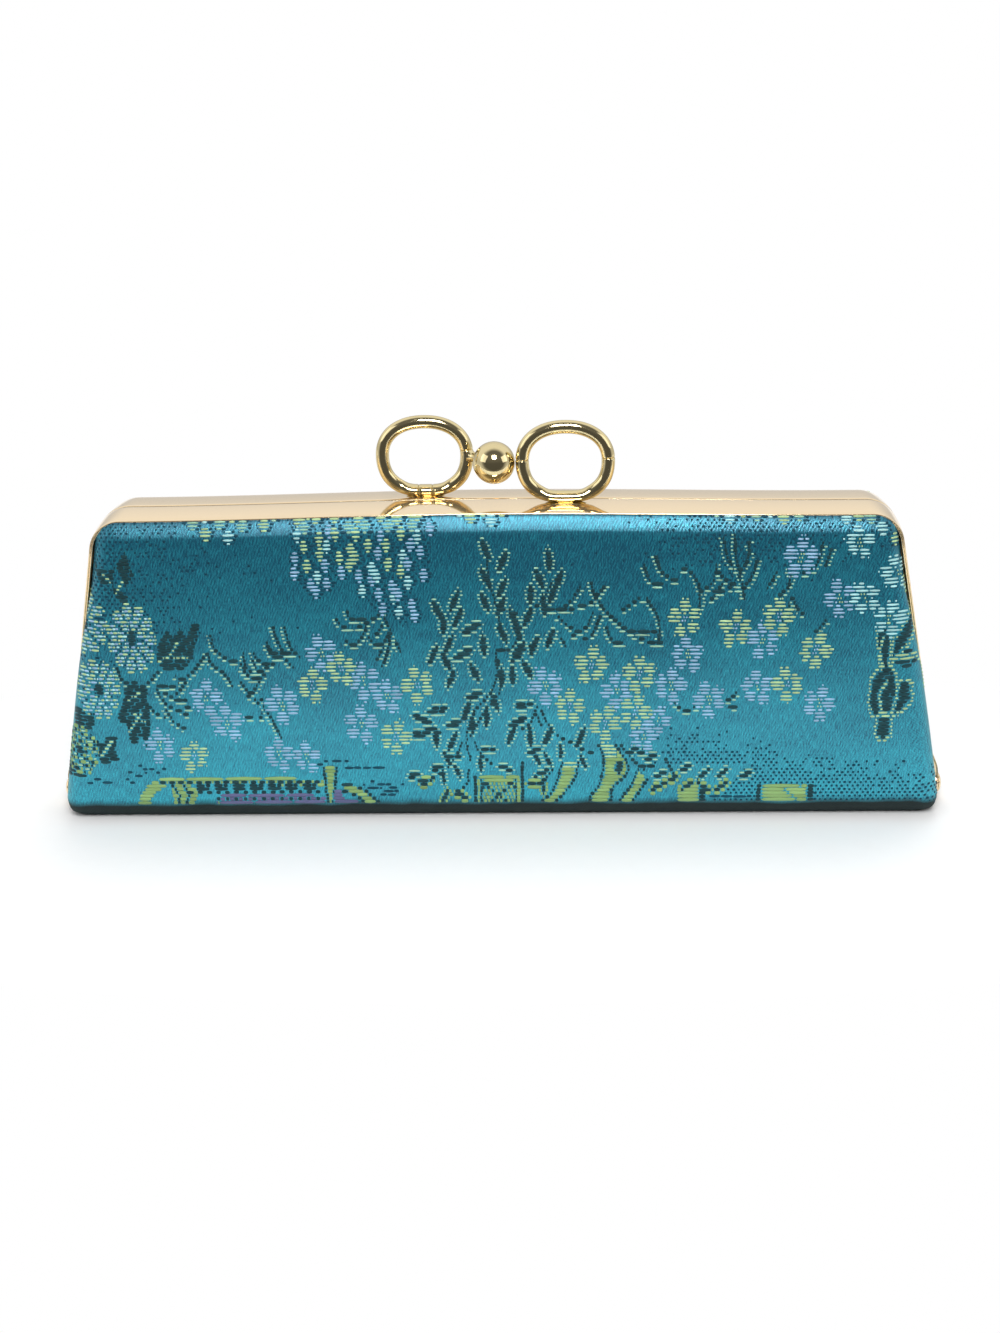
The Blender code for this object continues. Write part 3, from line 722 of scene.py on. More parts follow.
def ring_mesh(name, side, joints):
    """An oval wire ring, flattened at its foot, with a fine butt joint at each given angle."""
    centre = ring_centre(side)
    wire, sides = sizes().wire_radius, sizes().ring_sides
    half = np.array([RING_LENGTH / 2 - RING_WIRE, RING_HEIGHT / 2 - RING_WIRE])
    marks = np.radians(joints)
    around = 2 * math.pi
    even = [
        angle for angle in np.linspace(0, around, 121)[:-1]
        if all(abs(math.remainder(angle - mark, around)) > JOINT_ROOM for mark in marks)
    ]
    fine = [mark + offset for mark in marks for offset in JOINT_STATIONS]
    angles = np.array(sorted(angle % around for angle in [*even, *fine]))
    angles = np.append(angles, angles[0] + around)
    away = [min(abs(math.remainder(angle - mark, around)) for mark in marks) for angle in angles]
    groove = wire * (1 - JOINT_DEPTH * np.exp(-((np.array(away) / JOINT_WIDTH) ** 2)))
    circle = unit_circle(angles)
    x, z = (np.sign(circle) * np.abs(circle) ** (2 / RING_SQUARENESS) * half).T
    z = np.where(z < 0, z * (1 + RING_SEAT / half[1]), z)
    over = z + half[1] + RING_SEAT
    bend = np.sqrt(over**2 + FOOT_BEND**2) - FOOT_BEND - over
    path = np.stack([x, z + bend * smooth_step(-z, 0, FOOT_RISE)], 1)
    pressed = smooth_step(-path[:, 1], half[1] * 0.90, half[1] * 1.02)
    out = right_hand_way(np.concatenate([path[-3:-1], path, path[1:3]]))[2:-2]

    def place(column, row):
        turn = 2 * math.pi * column / sides
        reach = groove[row] * np.cos(turn) * (1 - PRESSED_THINNER * pressed[row])
        x, z = (path[row] + out[row] * reach[:, None]).T
        y = groove[row] * np.sin(turn) * (1 + PRESSED_WIDER * pressed[row])
        return np.stack([centre.x + x, centre.y + y, centre.z + z], 1)

    return mapped_grid(name, sides, len(angles) - 1, place, close=2e-6)


def blob(name, centre, radii, segments=20):
    """A rounded lump with its own radius along each axis."""
    bm = bmesh.new()
    bmesh.ops.create_uvsphere(bm, u_segments=segments, v_segments=segments // 2, radius=1)
    bmesh.ops.scale(bm, vec=radii, verts=bm.verts)
    bmesh.ops.translate(bm, vec=centre, verts=bm.verts)
    return mesh_from(bm, name)


def rod(name, start, end, radius, flare=1.0):
    """A round rod between two points, flared at both ends."""
    start, end = Vector(start), Vector(end)
    length = (end - start).length
    turn = Vector((0, 0, 1)).rotation_difference(end - start).to_matrix().to_4x4()
    bm = bmesh.new()
    bmesh.ops.create_cone(bm, cap_ends=True, segments=20, radius1=radius, radius2=radius, depth=length)
    lengthwise = [edge for edge in bm.edges if abs(edge.verts[0].co.z - edge.verts[1].co.z) > radius / 10]
    bmesh.ops.subdivide_edges(bm, edges=lengthwise, cuts=5)
    for vert in bm.verts:
        vert.co.xy *= 1 + (flare - 1) * abs(2 * vert.co.z / length) ** 3
    bmesh.ops.transform(bm, matrix=Matrix.Translation((start + end) / 2) @ turn, verts=bm.verts)
    return mesh_from(bm, name)


# Cloth


class Tray:
    """The form that every layer of a half follows: a crowned panel whose edges roll in under the frame."""

    def __init__(self, side, inset=0.0, tuck=COVER_TUCK, swell=0.0):
        self.side = side
        self.inset = inset
        self.tuck = tuck
        self.swell = swell
        self.rolls = [max(width - inset, LEAST_ROLL) for width in ROLL_WIDTHS]
        self.low = inset + self.rolls[2]
        self.high = BODY_TOP - inset - self.rolls[1]
        self.foot = np.array([self.half_length(self.low), self.low])
        arc_z = self.high - TOP_ARC
        self.top_centre = np.array([self.half_length(arc_z) - TOP_ARC / math.cos(LEAN), arc_z])
        arc = self.top_centre + TOP_ARC * unit_circle(np.linspace(LEAN, math.pi / 2, 6))
        right = np.array([self.foot, *arc])
        self.polygon = np.concatenate([right, right[::-1] * (-1, 1)])

    def half_length(self, z):
        """Half the length of the flat panel at height z."""
        return side_x(z) - (SHELL_INSET + self.inset + self.rolls[0]) / math.cos(LEAN)

    def nearest(self, points):
        """For each chart point: the nearest place on the panel, the way out and the distance."""
        start = self.polygon
        edge = np.roll(start, -1, axis=0) - start
        length = (edge**2).sum(axis=1)
        offset = points[:, None, :] - start[None]
        share = np.clip((offset * edge).sum(axis=2) / length, 0, 1)
        foot = start + share[..., None] * edge
        best = ((points[:, None, :] - foot) ** 2).sum(axis=2).argmin(axis=1)
        outward = np.stack([edge[:, 1], -edge[:, 0]], 1) / np.sqrt(length)[:, None]
        inside = ((offset * outward).sum(axis=2) <= 0).all(axis=1)
        base = np.where(inside[:, None], points, foot[np.arange(len(points)), best])
        distance = np.where(inside, 0, np.linalg.norm(points - base, axis=1))
        out = (points - base) / np.maximum(distance, 1e-9)[:, None]
        return base, np.where(distance[:, None] > 1e-7, out, outward[best]), distance

    def towards(self, out, values):
        """A value for each way out, from those for the sides, the top and the foot."""
        up, down = np.clip(out[:, 1], 0, 1) ** 2, np.clip(-out[:, 1], 0, 1) ** 2
        return values[0] + (values[1] - values[0]) * up + (values[2] - values[0]) * down

    def roll(self, out):
        """Width of the rolled edge, fuller at the foot's corners."""
        squared = (np.abs(out) ** 6).sum(axis=1) ** (-1 / 6)
        return self.towards(out, self.rolls) * np.where(out[:, 1] < 0, squared, 1)

    def arc(self, out):
        """Length of cloth that goes round the roll."""
        return self.roll(out) * self.towards(out, ROLL_ARC_SHARES)

    def open_edge(self, z):
        """How far from the parting plane the layer's open edge lies."""
        behind = np.maximum(band_depth(z) - self.tuck, SEAM + RIM_THICKNESS + GAP)
        share = np.clip((z - HINGE_Z - SPINE_HALF_DEPTH) / (SIDE_FOOT_Z - HINGE_Z), 0, 1)
        return SPINE_HALF_DEPTH + (behind - SPINE_HALF_DEPTH) * share

    def fold(self, base, out, share, wall_share=None, wall=None):
        """Places on the form: base on the panel, some share of the way round the roll, then down the wall."""
        crease = self.towards(out, ROLL_CREASES)
        roll = self.roll(out)
        begun, rest = share ** (1 / crease), (1 - share) ** (1 / crease)
        turn = math.pi / 2 * begun / (begun + rest)
        x, z = (base + out * (roll * np.sin(turn) ** crease)[:, None]).T
        face = FOOT_DEPTH + (SHOULDER_DEPTH - FOOT_DEPTH) * z / BODY_TOP - self.inset
        edge = self.open_edge(z)
        drop = np.minimum(roll, (face - edge) * self.towards(out, SHOULDER_SHARES))
        left = np.maximum(face - drop - edge, 0)
        wall = wall_share * left if wall is None else np.minimum(wall, left)
        across = np.clip(np.abs(base[:, 0]) / self.half_length(base[:, 1]), 0, 1)
        up = np.clip((base[:, 1] - self.low) / (self.high - self.low), 0, 1)
        mound = (1 - across**4) * (1 - (2 * up - 1) ** 2)
        ripple = RIPPLE * np.sin(base[:, 0] * 85 + 0.7) * np.sin(base[:, 1] * 110 + 0.4)
        fallen = 1 - np.clip(np.cos(turn), 0, 1) ** crease
        depth = face - drop * fallen + (PANEL_CROWN + ripple) * mound - wall
        free = smooth_step(depth, band_depth(z) + SWELL_START, band_depth(z) + SWELL_FULL)
        tall = np.sin(math.pi * np.clip(z / BODY_TOP, 0, 1)) ** 0.5
        puff = self.swell * free * np.sin(turn) * out[:, 0] * np.abs(out[:, 0]) * tall
        return np.stack([x + puff, self.side * depth, z + arch(x) * z / BODY_TOP], 1)

    def drape(self, points):
        """Places on the form for chart points."""
        base, out, distance = self.nearest(points)
        arc = self.arc(out)
        return self.fold(base, out, np.clip(distance / arc, 0, 1), wall=np.maximum(distance - arc, 0))

    def drape_lifted(self, points, lift):
        """Places at a height over the form for chart points."""
        step = 2e-5
        here = self.drape(points)
        right, upward = self.drape(points + (step, 0)) - here, self.drape(points + (0, step)) - here
        normal = np.cross(right, upward) * -self.side
        normal /= np.maximum(np.linalg.norm(normal, axis=1), 1e-12)[:, None]
        return here + normal * lift[:, None]

    def turned_out(self, points, way, share):
        """Places moved out over the edges of the layers behind, up to the inside of the frame."""
        clear = RIM_THICKNESS + HEM_CLEARANCE
        sides, top = SHELL_INSET + self.inset - clear, TOP_INSET + self.inset - clear
        reach = self.towards(way, (sides, top, self.inset - FOOT_CLEARANCE)) * share
        x, z = np.abs(points[:, 0]) + np.abs(way[:, 0]) * reach, points[:, 2] + way[:, 1] * reach
        beside, above = x - TOP_CORNER_X, z - arch(x) - CORNER_Z
        radius = np.maximum(np.hypot(beside, above), 1e-6)
        pull = np.where((beside > 0) & (above > 0), np.minimum(1, (CORNER_RADIUS - clear) / radius), 1)
        x = np.where(pull < 1, TOP_CORNER_X + beside * pull, x)
        z = np.where(pull < 1, CORNER_Z + above * pull, z)
        x = np.minimum(x, side_x(z) - clear - EAR_CLEARANCE * (1 - smooth_step(z, *EAR_TOP)))
        x = np.where(share > 0, x, np.abs(points[:, 0])) * np.sign(points[:, 0])
        return np.stack([x, points[:, 1], np.where(share > 0, z, points[:, 2])], 1)

    def ring_places(self, columns, rows, rings, column, row):
        """Base and way out of each grid point: rings round the panel's edge, a plain grid inside."""
        from_side = np.minimum(column, columns - column)
        from_flat = np.minimum(row, rows - row)
        ring = np.minimum(np.minimum(from_side, from_flat), rings)
        top = row > rows / 2
        up = np.clip((row - rings) / (rows - 2 * rings), 0, 1)
        across = np.abs(np.clip(2 * (column - rings) / (columns - 2 * rings) - 1, -1, 1))
        further = np.minimum(np.maximum(from_side, from_flat), rings)
        turned = 0.5 * (rings - further) / np.maximum(rings - ring, 1)
        share = np.where(from_side <= from_flat, turned, 1 - turned)
        end = np.where(top, math.pi / 2, -math.pi / 2)
        lean = np.array([math.cos(LEAN), math.sin(LEAN)])
        corner_way = unit_circle(LEAN + (end - LEAN) * share)
        corner_base = np.where(top[:, None], self.top_centre + TOP_ARC * corner_way, self.foot)
        side_base = self.foot + (self.top_centre + TOP_ARC * lean - self.foot) * up[:, None]
        flat_end = np.where(top[:, None], (self.top_centre[0], self.high), self.foot)
        flat_base = flat_end * np.stack([across, np.ones(len(across))], 1)
        wide = self.foot[0] + (self.top_centre[0] - self.foot[0]) * up
        inner_base = np.stack([across * wide, self.low + (self.high - self.low) * up], 1)
        inside_side, inside_flat = (from_side >= rings)[:, None], (from_flat >= rings)[:, None]
        areas = [inside_side & inside_flat, inside_flat, inside_side]
        base = np.select(areas, [inner_base, side_base, flat_base], corner_base)
        flat_way = np.stack([np.zeros(len(end)), np.sign(end)], 1)
        way = np.select(areas, [corner_way, np.broadcast_to(lean, corner_way.shape), flat_way], corner_way)
        flip = np.where((column < columns / 2)[:, None], (-1, 1), (1, 1))
        return base * flip, way * flip, ring

    def sheet(self, name, columns, rows, rings, wall_rings, turned_rings=0):
        """The layer's outer face as a mesh, with the cloth's own millimetres as its UV map."""

        def parts(column, row):
            base, way, ring = self.ring_places(columns, rows, rings, column, row)
            rolled = np.clip((rings - ring) / (rings - wall_rings - turned_rings), 0, 1)
            wall = np.clip((wall_rings + turned_rings - ring) / wall_rings, 0, 1)
            return base, way, rolled, wall, np.clip((turned_rings - ring) / max(turned_rings, 1), 0, 1)

        def place(column, row):
            base, way, rolled, wall, turned = parts(column, row)
            return self.turned_out(self.fold(base, way, rolled, wall_share=wall), way, turned)

        def chart(column, row):
            base, way, rolled, wall, turned = parts(column, row)
            reach = self.arc(way) * rolled + wall * WALL_CLOTH + turned * HEM_CLOTH
            return (base + way * reach[:, None]) / MM

        mesh = mapped_grid(name, columns, rows, place, chart)
        if self.side == REAR:
            mesh.flip_normals()
        return mesh


# Weave chart: places and sizes from here on are in millimetres of cloth, from the middle of the foot

# Petals of a blossom as shares of its half height: across, up, half width, half height
PETALS = (
    (0.06, 0.62, 0.28, 0.38),
    (-0.46, 0.27, 0.33, 0.31),
    (0.48, 0.08, 0.36, 0.37),
    (-0.42, -0.34, 0.30, 0.30),
    (0.16, -0.64, 0.29, 0.36),
)
# A petal's notch, the gap between two petals, and the heart, as shares too
NOTCH_HALF = 0.055
NOTCH_START = 0.5
PETAL_GAP = 0.13
HEART_HALF = (0.10, 0.24)
# Rows of a hanging petal: row from its middle and half width; then its shadow's shift and margin
HANGING_ROWS = ((1, 0.50), (0, 0.84), (-1, 0.74), (-2, 0.36))
SHADOW_SHIFT = 0.2
SHADOW_MARGIN = 0.5
# Rings of a full flower: middle and half width as shares of its half width, and number of petals
FLOWER_RINGS = ((0.78, 0.25, 11), (0.40, 0.17, 7))
# Its height over its width, its dark ground and heart, the gaps between petals, and their bright tips
FLOWER_TALLER = 1.5
FLOWER_GROUND = 0.94
FLOWER_HEART = 0.21
FLOWER_GAPS = (0.17, 0.32)
FLOWER_TIPS = 0.62

GROUND, LIME, LILAC, DARK, PALE, PURPLE, NAVY, MOSS, SAGE = range(9)
CHART_HALF, CHART_LOW, CHART_HIGH = 92.0, -7.0, 68.0
REAR_SHIFT = 23
SHOWN_HALF = 90
CURVE_STEPS = 5
BLOSSOM_SCALE = 1.24
# Half widths of the lines, and how far the twigs' dots lie under them
STEM_HALF = 0.24
TWIG_HALF = 0.30
DOTS_HALF = 0.26
VEIN_HALF = 0.32
RIB_HALF = 0.22
WAVE_HALF = 0.30
EDGE_HALF = 0.26
DOTS_BELOW = 0.62
# Length and width of the leaves, and the heights below which they are small and edged in moss
LEAF, LOW_LEAF = (4.2, 1.3), (3.4, 0.95)
LOW_LEAVES, MOSS_LEAVES = 15, 9
# Stippled shadows that fade to the sides: middle, height where they begin and are full, and density
STIPPLES = ((-75, 30, 45, 0.9), (46, 45, 57, 0.85))
STIPPLE_HALF = 15
# The dotted bank at the lower right: where it begins, its top's height, middle and slope, how it fades under
# the top, and the height down to which it is dotted at its left end
BANK_START = (27, 36)
BANK_TOP = 17.5
BANK_MIDDLE = 34
BANK_SLOPE = 0.19
BANK_FADE = (-3.0, 4.5)
BANK_LOW = 11.6


def smooth_line(points):
    """A smooth line through a few points."""
    points = np.array(points, float)
    ends = np.concatenate([2 * points[:1] - points[1:2], points, 2 * points[-1:] - points[-2:-1]])
    line = []
    for a, b, c, d in zip(ends, ends[1:], ends[2:], ends[3:]):
        for share in np.arange(CURVE_STEPS) / CURVE_STEPS:
            square, cube = (2 * a - 5 * b + 4 * c - d) * share**2, (3 * b - a - 3 * c + d) * share**3
            line.append(0.5 * (2 * b + (c - a) * share + square + cube))
    return np.array([*line, points[-1]])


class WeaveChart:
    """The pattern in millimetres of cloth: a row for each weft pick, a column for each step along it."""

    def __init__(self):
        self.column = sizes().column_pitch / MM
        self.row = sizes().row_pitch / MM
        u = np.arange(-CHART_HALF, CHART_HALF, self.column)
        v = np.arange(CHART_LOW, CHART_HIGH, self.row)
        self.u, self.v = np.meshgrid(u, v)
        self.cells = np.zeros(self.u.shape, np.int8)
        self.random = np.random.default_rng(11)

    def paint(self, mask, colour):
        """Weaves a colour where the mask is set."""
        self.cells[mask] = colour

    def paint_ground(self, mask, colour):
        """Weaves a colour where the mask is set and nothing is woven yet."""
        self.paint(mask & (self.cells == GROUND), colour)

    def grown(self, mask, columns, rows):
        """A mask with its edge moved out."""
        wide = mask.copy()
        for shift in range(1, columns + 1):
            wide |= np.roll(mask, shift, 1) | np.roll(mask, -shift, 1)
        tall = wide.copy()
        for shift in range(1, rows + 1):
            tall |= np.roll(wide, shift, 0) | np.roll(wide, -shift, 0)
        return tall

    def hatch(self, columns, shift):
        """A number from 0 that steps along each row and shifts from row to row."""
        steps = np.rint((self.u + CHART_HALF) / self.column).astype(int)
        rows = np.rint((self.v - CHART_LOW) / self.row).astype(int)
        return (steps + shift * rows) % columns

    def near_line(self, points, half):
        """Mask of what lies near a line through points."""
        points = np.array(points, float)
        best = np.full(self.u.shape, 1e9)
        for start, way in zip(points, points[1:] - points[:-1]):
            from_u, from_v = self.u - start[0], self.v - start[1]
            share = np.clip((from_u * way[0] + from_v * way[1]) / (way @ way), 0, 1)
            best = np.minimum(best, np.hypot(from_u - share * way[0], (from_v - share * way[1]) * 1.1))
        return best < half

    def polygon(self, points):
        """Mask of a closed outline."""
        inside = np.zeros(self.u.shape, bool)
        for (u1, v1), (u2, v2) in zip(points, [*points[1:], points[0]]):
            if v1 != v2:
                left = self.u < (u2 - u1) * (self.v - v1) / (v2 - v1) + u1
                inside ^= ((v1 > self.v) != (v2 > self.v)) & left
        return inside

    def block(self, left, right, low, high):
        """Mask of an upright rectangle."""
        return (self.u > left) & (self.u < right) & (self.v > low) & (self.v < high)

    def lens(self, u, v, length, width, angle):
        """Mask of a leaf shape whose foot is at a place."""
        cosine, sine = math.cos(math.radians(angle)), math.sin(math.radians(angle))
        along = ((self.u - u) * cosine + (self.v - v) * sine) / length
        across = (-(self.u - u) * sine + (self.v - v) * cosine) / width
        bulge = np.clip(4 * along * (1 - along), 0, 1) ** 0.75 / 2
        return (along > 0) & (along < 1) & (np.abs(across) < bulge)

    def blossom(self, place, petal, heart, turn, mirror=1):
        """A five-petalled blossom: notched petals with narrow gaps and a dotted heart."""
        u, v, size = place
        size *= BLOSSOM_SCALE
        across, up = (self.u - u) / size * mirror, (self.v - v) / size
        cosine, sine = math.cos(turn), math.sin(turn)
        across, up = across * cosine + up * sine, up * cosine - across * sine
        fit = []
        notch = np.zeros(self.u.shape, bool)
        for centre_u, centre_v, half_u, half_v in PETALS:
            off_u, off_v = across - centre_u, up - centre_v
            fit.append(np.sqrt((off_u / half_u) ** 2 + (off_v / half_v) ** 2))
            reach = math.hypot(centre_u, centre_v)
            beside = np.abs(off_u * centre_v - off_v * centre_u) / reach
            beyond = (off_u * centre_u + off_v * centre_v) / reach
            notch |= (fit[-1] < 1) & (beside < NOTCH_HALF) & (beyond > NOTCH_START * half_v)
        fit = np.sort(np.stack(fit), axis=0)
        self.paint((fit[0] < 1) & (fit[1] - fit[0] > PETAL_GAP) & ~notch, petal)
        middle = (np.abs(across) < HEART_HALF[0]) & (np.abs(up) < HEART_HALF[1])
        self.paint(middle & (self.hatch(2, 1) > 0), heart)

    def leaf(self, u, v, length, width, angle, edge):
        """A dark leaf about a place, with a bright stitch at each end of every row and at its tips."""
        way = math.radians(angle)
        core = self.lens(u - math.cos(way) * length / 2, v - math.sin(way) * length / 2, length, width, angle)
        sides = self.grown(core, 2, 0) & ~core
        tips = self.grown(core, 0, 1) & ~self.grown(core, 1, 0)
        self.paint((sides | tips) & (self.cells != DARK), edge)
        self.paint(core, DARK)

    def twig(self, points):
        """A thin dark stroke with a line of bright dots under it."""
        line = smooth_line(points)
        below = right_hand_way(line)
        below *= np.where(below[:, 1:] > 0, -1, 1)
        dark = self.near_line(line, TWIG_HALF)
        bright = self.near_line(line + below * DOTS_BELOW, DOTS_HALF) & ~dark
        self.paint(bright & (self.cells != LILAC), SAGE)
        self.paint(dark, DARK)

    def hanging_petal(self, u, v, colour, spread=1.0):
        """One hanging petal of a few stitches with its shadow."""
        v = CHART_LOW + self.row * round((v - CHART_LOW) / self.row)
        for rows, half in HANGING_ROWS:
            stitch = np.abs(self.v - v - rows * self.row) < 0.1
            shadow = np.abs(self.u - u - SHADOW_SHIFT) < half * spread + SHADOW_MARGIN
            self.paint_ground(stitch & shadow, NAVY)
            self.paint(stitch & (np.abs(self.u - u) < half * spread), colour)

    def holds(self, mask, u, v):
        """Whether a mask is set at a place."""
        row = round((v - CHART_LOW) / self.row)
        return bool(mask[min(row, len(mask) - 1), round((u + CHART_HALF) / self.column)])

    def ribbon(self, left, right):
        """A moss ribbon between two lines with a dark edge."""
        left, right = smooth_line(left), smooth_line(right)
        self.paint(self.polygon([*left, *right[::-1]]), MOSS)
        self.paint(self.near_line(left, EDGE_HALF) | self.near_line(right, EDGE_HALF), DARK)

    def full_flower(self, u, v, size, colours=(LIME, PALE, LILAC)):
        """A full flower, taller than wide: two rings of stitched petals round a dark heart."""
        across, up = (self.u - u) / size, (self.v - v) / size / FLOWER_TALLER
        radius, angle = np.hypot(across, up), np.arctan2(up, across)
        thread = np.choose(self.hatch(9, 4) // 3, colours)
        self.paint((radius < FLOWER_GROUND) & (self.hatch(5, 2) < 2), NAVY)
        for middle, half, count in FLOWER_RINGS:
            part = np.abs(np.mod(angle * count / (2 * math.pi) + middle * 9, 1) - 0.5) * 2
            along = (radius - middle) / half
            petal = (np.abs(along) < 1) & (part > FLOWER_GAPS[0] + FLOWER_GAPS[1] * along**2)
            self.cells[petal] = thread[petal]
            self.paint(petal & (along > FLOWER_TIPS), colours[0])
        self.paint(radius < FLOWER_HEART, DARK)

    def stipple(self, weight):
        """Scattered single dots, as dense as the weight says."""
        chance = self.random.random(self.u.shape) < weight
        spots = (self.hatch(4, 2) == 0) & chance & (self.cells == GROUND)
        self.paint(spots, NAVY)
        self.paint_ground(np.roll(spots, 1, 1), NAVY)

    def floats(self):
        """Every float as (colour, start, end, height up the cloth), broken by ties where it is long."""
        usual = round(sizes().longest_float / MM / self.column)
        found = []
        for number, row in enumerate(self.cells):
            change = np.flatnonzero(np.diff(row)) + 1
            for start, end in zip([0, *change], [*change, len(row)]):
                colour = row[start]
                if colour == GROUND:
                    continue
                first = start
                longest = usual * 3 if colour in (MOSS, PURPLE) else usual
                stagger = longest - (number * 3) % max(longest // 2, 1)
                while first < end:
                    reach = stagger if first == start and end - start > longest else longest
                    last = min(first + reach, end)
                    if 0 < end - last < 2:
                        last = end
                    ends = self.u[0, first], self.u[0, last - 1] + self.column
                    found.append((colour, *ends, self.v[number, 0]))
                    first = last
        return found


# Blossoms: across, up, size
LILAC_BLOSSOMS = (
    (-54.9, 25.6, 3.2), (-51.2, 20.6, 3.3), (-64.4, 16.0, 3.0), (-40.6, 24.1, 3.4),
    (-41.7, 14.0, 3.0), (-36.4, 13.4, 2.8), (-32.7, 34.2, 3.2), (-24.9, 28.6, 3.3),
    (-20.6, 25.4, 3.0), (-25.8, 20.0, 3.3), (9.1, 27.3, 3.4), (22.4, 26.2, 3.2),
    (35.5, 33.4, 3.1), (32.4, 27.2, 3.1), (39.6, 24.6, 3.2), (49.4, 36.1, 3.2),
    (48.6, 27.0, 3.1), (60.2, 23.6, 3.1), (63.4, 44.0, 3.2),
    (56.0, 51.9, 3.4), (27.4, 17.2, 2.8), (30.2, 20.6, 2.6),
)
PALE_BLOSSOMS = ((72.6, 40.0, 3.0), (66.6, 54.6, 2.8), (73.4, 48.8, 3.1), (67.9, 44.2, 3.0))
LIME_BLOSSOMS = (
    (-34.7, 27.9, 3.0), (-29.1, 31.0, 2.9), (-58.0, 13.8, 2.9), (-14.9, 27.7, 3.2),
    (-19.4, 17.3, 3.1), (13.6, 23.2, 3.0), (17.6, 31.2, 3.3), (26.6, 29.6, 3.2),
    (20.2, 19.8, 3.2), (25.9, 22.2, 3.1), (34.9, 40.3, 3.2), (44.3, 38.4, 3.1),
    (52.2, 40.7, 3.2), (59.2, 34.2, 3.2), (54.2, 27.6, 3.1), (78.4, 41.6, 2.4), (76.8, 46.4, 2.4),
)
# Outline of the crowded cluster, and the parts of it that hang in lime: left, right, low, high
CLUSTER = (
    (-38.6, 62.0), (-37.4, 55.4), (-37.6, 50.0), (-35.4, 45.8), (-33.0, 44.2), (-30.2, 46.4),
    (-26.6, 49.4), (-25.0, 45.8), (-22.8, 42.6), (-19.8, 42.6), (-17.2, 38.8), (-14.8, 41.2),
    (-15.8, 46.8), (-13.8, 47.6), (-12.0, 50.6), (-11.6, 55.0), (-10.6, 62.0),
)
LIME_HANGINGS = ((-35.4, -31.8, 50.0, 63.0), (-29.8, -23.2, 50.0, 63.0), (-20.8, -17.0, 49.0, 63.0))
# The cluster's hanging petals: first place, last and step, and the height where the fringe begins
CLUSTER_ACROSS = (-38.4, -10.0, 1.90)
CLUSTER_UP = (37.0, 63.0, 3.5)
CLUSTER_FRINGE = 57.6
EDGE_PETALS = (
    (-55.6, 59.6), (-53.4, 61.2), (-53.2, 57.6), (-50.6, 59.4), (-49.0, 56.8), (-48.4, 60.6),
    (-46.4, 58.6), (-44.2, 61.4), (-42.4, 59.0), (-40.6, 61.2), (-6.4, 61.0), (-4.4, 59.2),
    (-2.2, 61.2), (-0.6, 58.8), (1.4, 61.0), (40.6, 60.6), (43.0, 59.6), (45.4, 60.9), (47.9, 59.9),
    (50.4, 60.7), (52.8, 59.5), (55.6, 60.2), (64.2, 59.8), (66.4, 60.4), (68.6, 59.4), (70.6, 57.6),
    (73.0, 55.6),
)
# Leaves: across, up, way they point in degrees
LEAVES = (
    (-1.7, 53.1, 115), (1.4, 51.1, 66), (-1.8, 47.9, 115), (1.2, 46.0, 66), (-2.0, 43.5, 115),
    (0.9, 42.7, 66), (1.2, 37.4, 115), (4.0, 37.8, 115), (9.9, 51.2, 92), (8.2, 47.6, 115),
    (11.7, 47.6, 66), (6.5, 44.8, 92), (10.5, 44.7, 66), (5.9, 40.5, 66), (8.9, 42.8, 92), (-7.6, 43.7, 66),
    (-7.1, 40.4, 66), (-10.8, 42.0, 115), (-9.7, 39.3, 92), (-4.6, 38.5, 24), (-2.4, 35.1, 92),
    (-6.2, 33.6, 24), (-8.9, 35.4, 66), (-11.8, 33.4, 66), (-9.4, 32.2, 115), (-8.5, 28.9, 66),
    (-4.2, 30.2, 115), (3.3, 40.3, 115), (3.7, 33.7, 66), (7.1, 35.2, 66), (10.1, 36.6, 66),
    (4.5, 34.1, 66), (5.7, 30.5, 115), (0.9, 29.0, 92), (2.9, 29.4, 92), (-4.1, 25.6, 24), (-5.8, 22.7, 66),
    (-0.5, 24.2, 115), (-2.1, 21.4, 92), (-4.8, 19.6, 92), (-11.3, 22.7, 6), (-14.2, 20.9, 158),
    (-8.2, 19.9, 24), (-14.7, 17.9, 6), (-11.7, 17.3, 92), (-8.6, 16.4, 66), (4.9, 23.6, 6),
    (3.7, 20.2, 24), (6.1, 17.3, 92), (9.4, 17.3, 66), (2.5, 17.4, 66), (-9.9, 13.2, 115), (-11.8, 10.9, 6),
    (-7.9, 10.3, 115), (-10.5, 9.3, 92), (-16.3, 9.5, 6), (-14.0, 8.1, 6), (-1.7, 14.8, 6),
    (-3.4, 11.7, 92), (-8.2, 13.4, 6), (7.4, 12.7, 115), (9.3, 12.6, 115), (6.7, 14.3, 24),
    (11.8, 14.3, 92), (16.1, 12.2, 115), (15.6, 17.1, 66), (1.1, 11.1, 158), (8.1, 9.8, 24), (7.0, 7.7, 6),
    (8.5, 7.1, 92), (-7.4, 5.4, 158), (-10.3, 5.2, 66), (27.5, 14.4, 28), (29.0, 13.1, 24), (25.8, 14.6, 35),
    (30.2, 7.0, 30), (30.9, 9.6, 24), (33.0, 8.6, 35), (35.5, 10.8, 30), (38.9, 9.6, 45), (42.5, 9.8, 45),
    (46.8, 9.4, 24), (35.9, 7.2, 35), (39.0, 6.9, 150), (42.2, 6.9, 35),
)
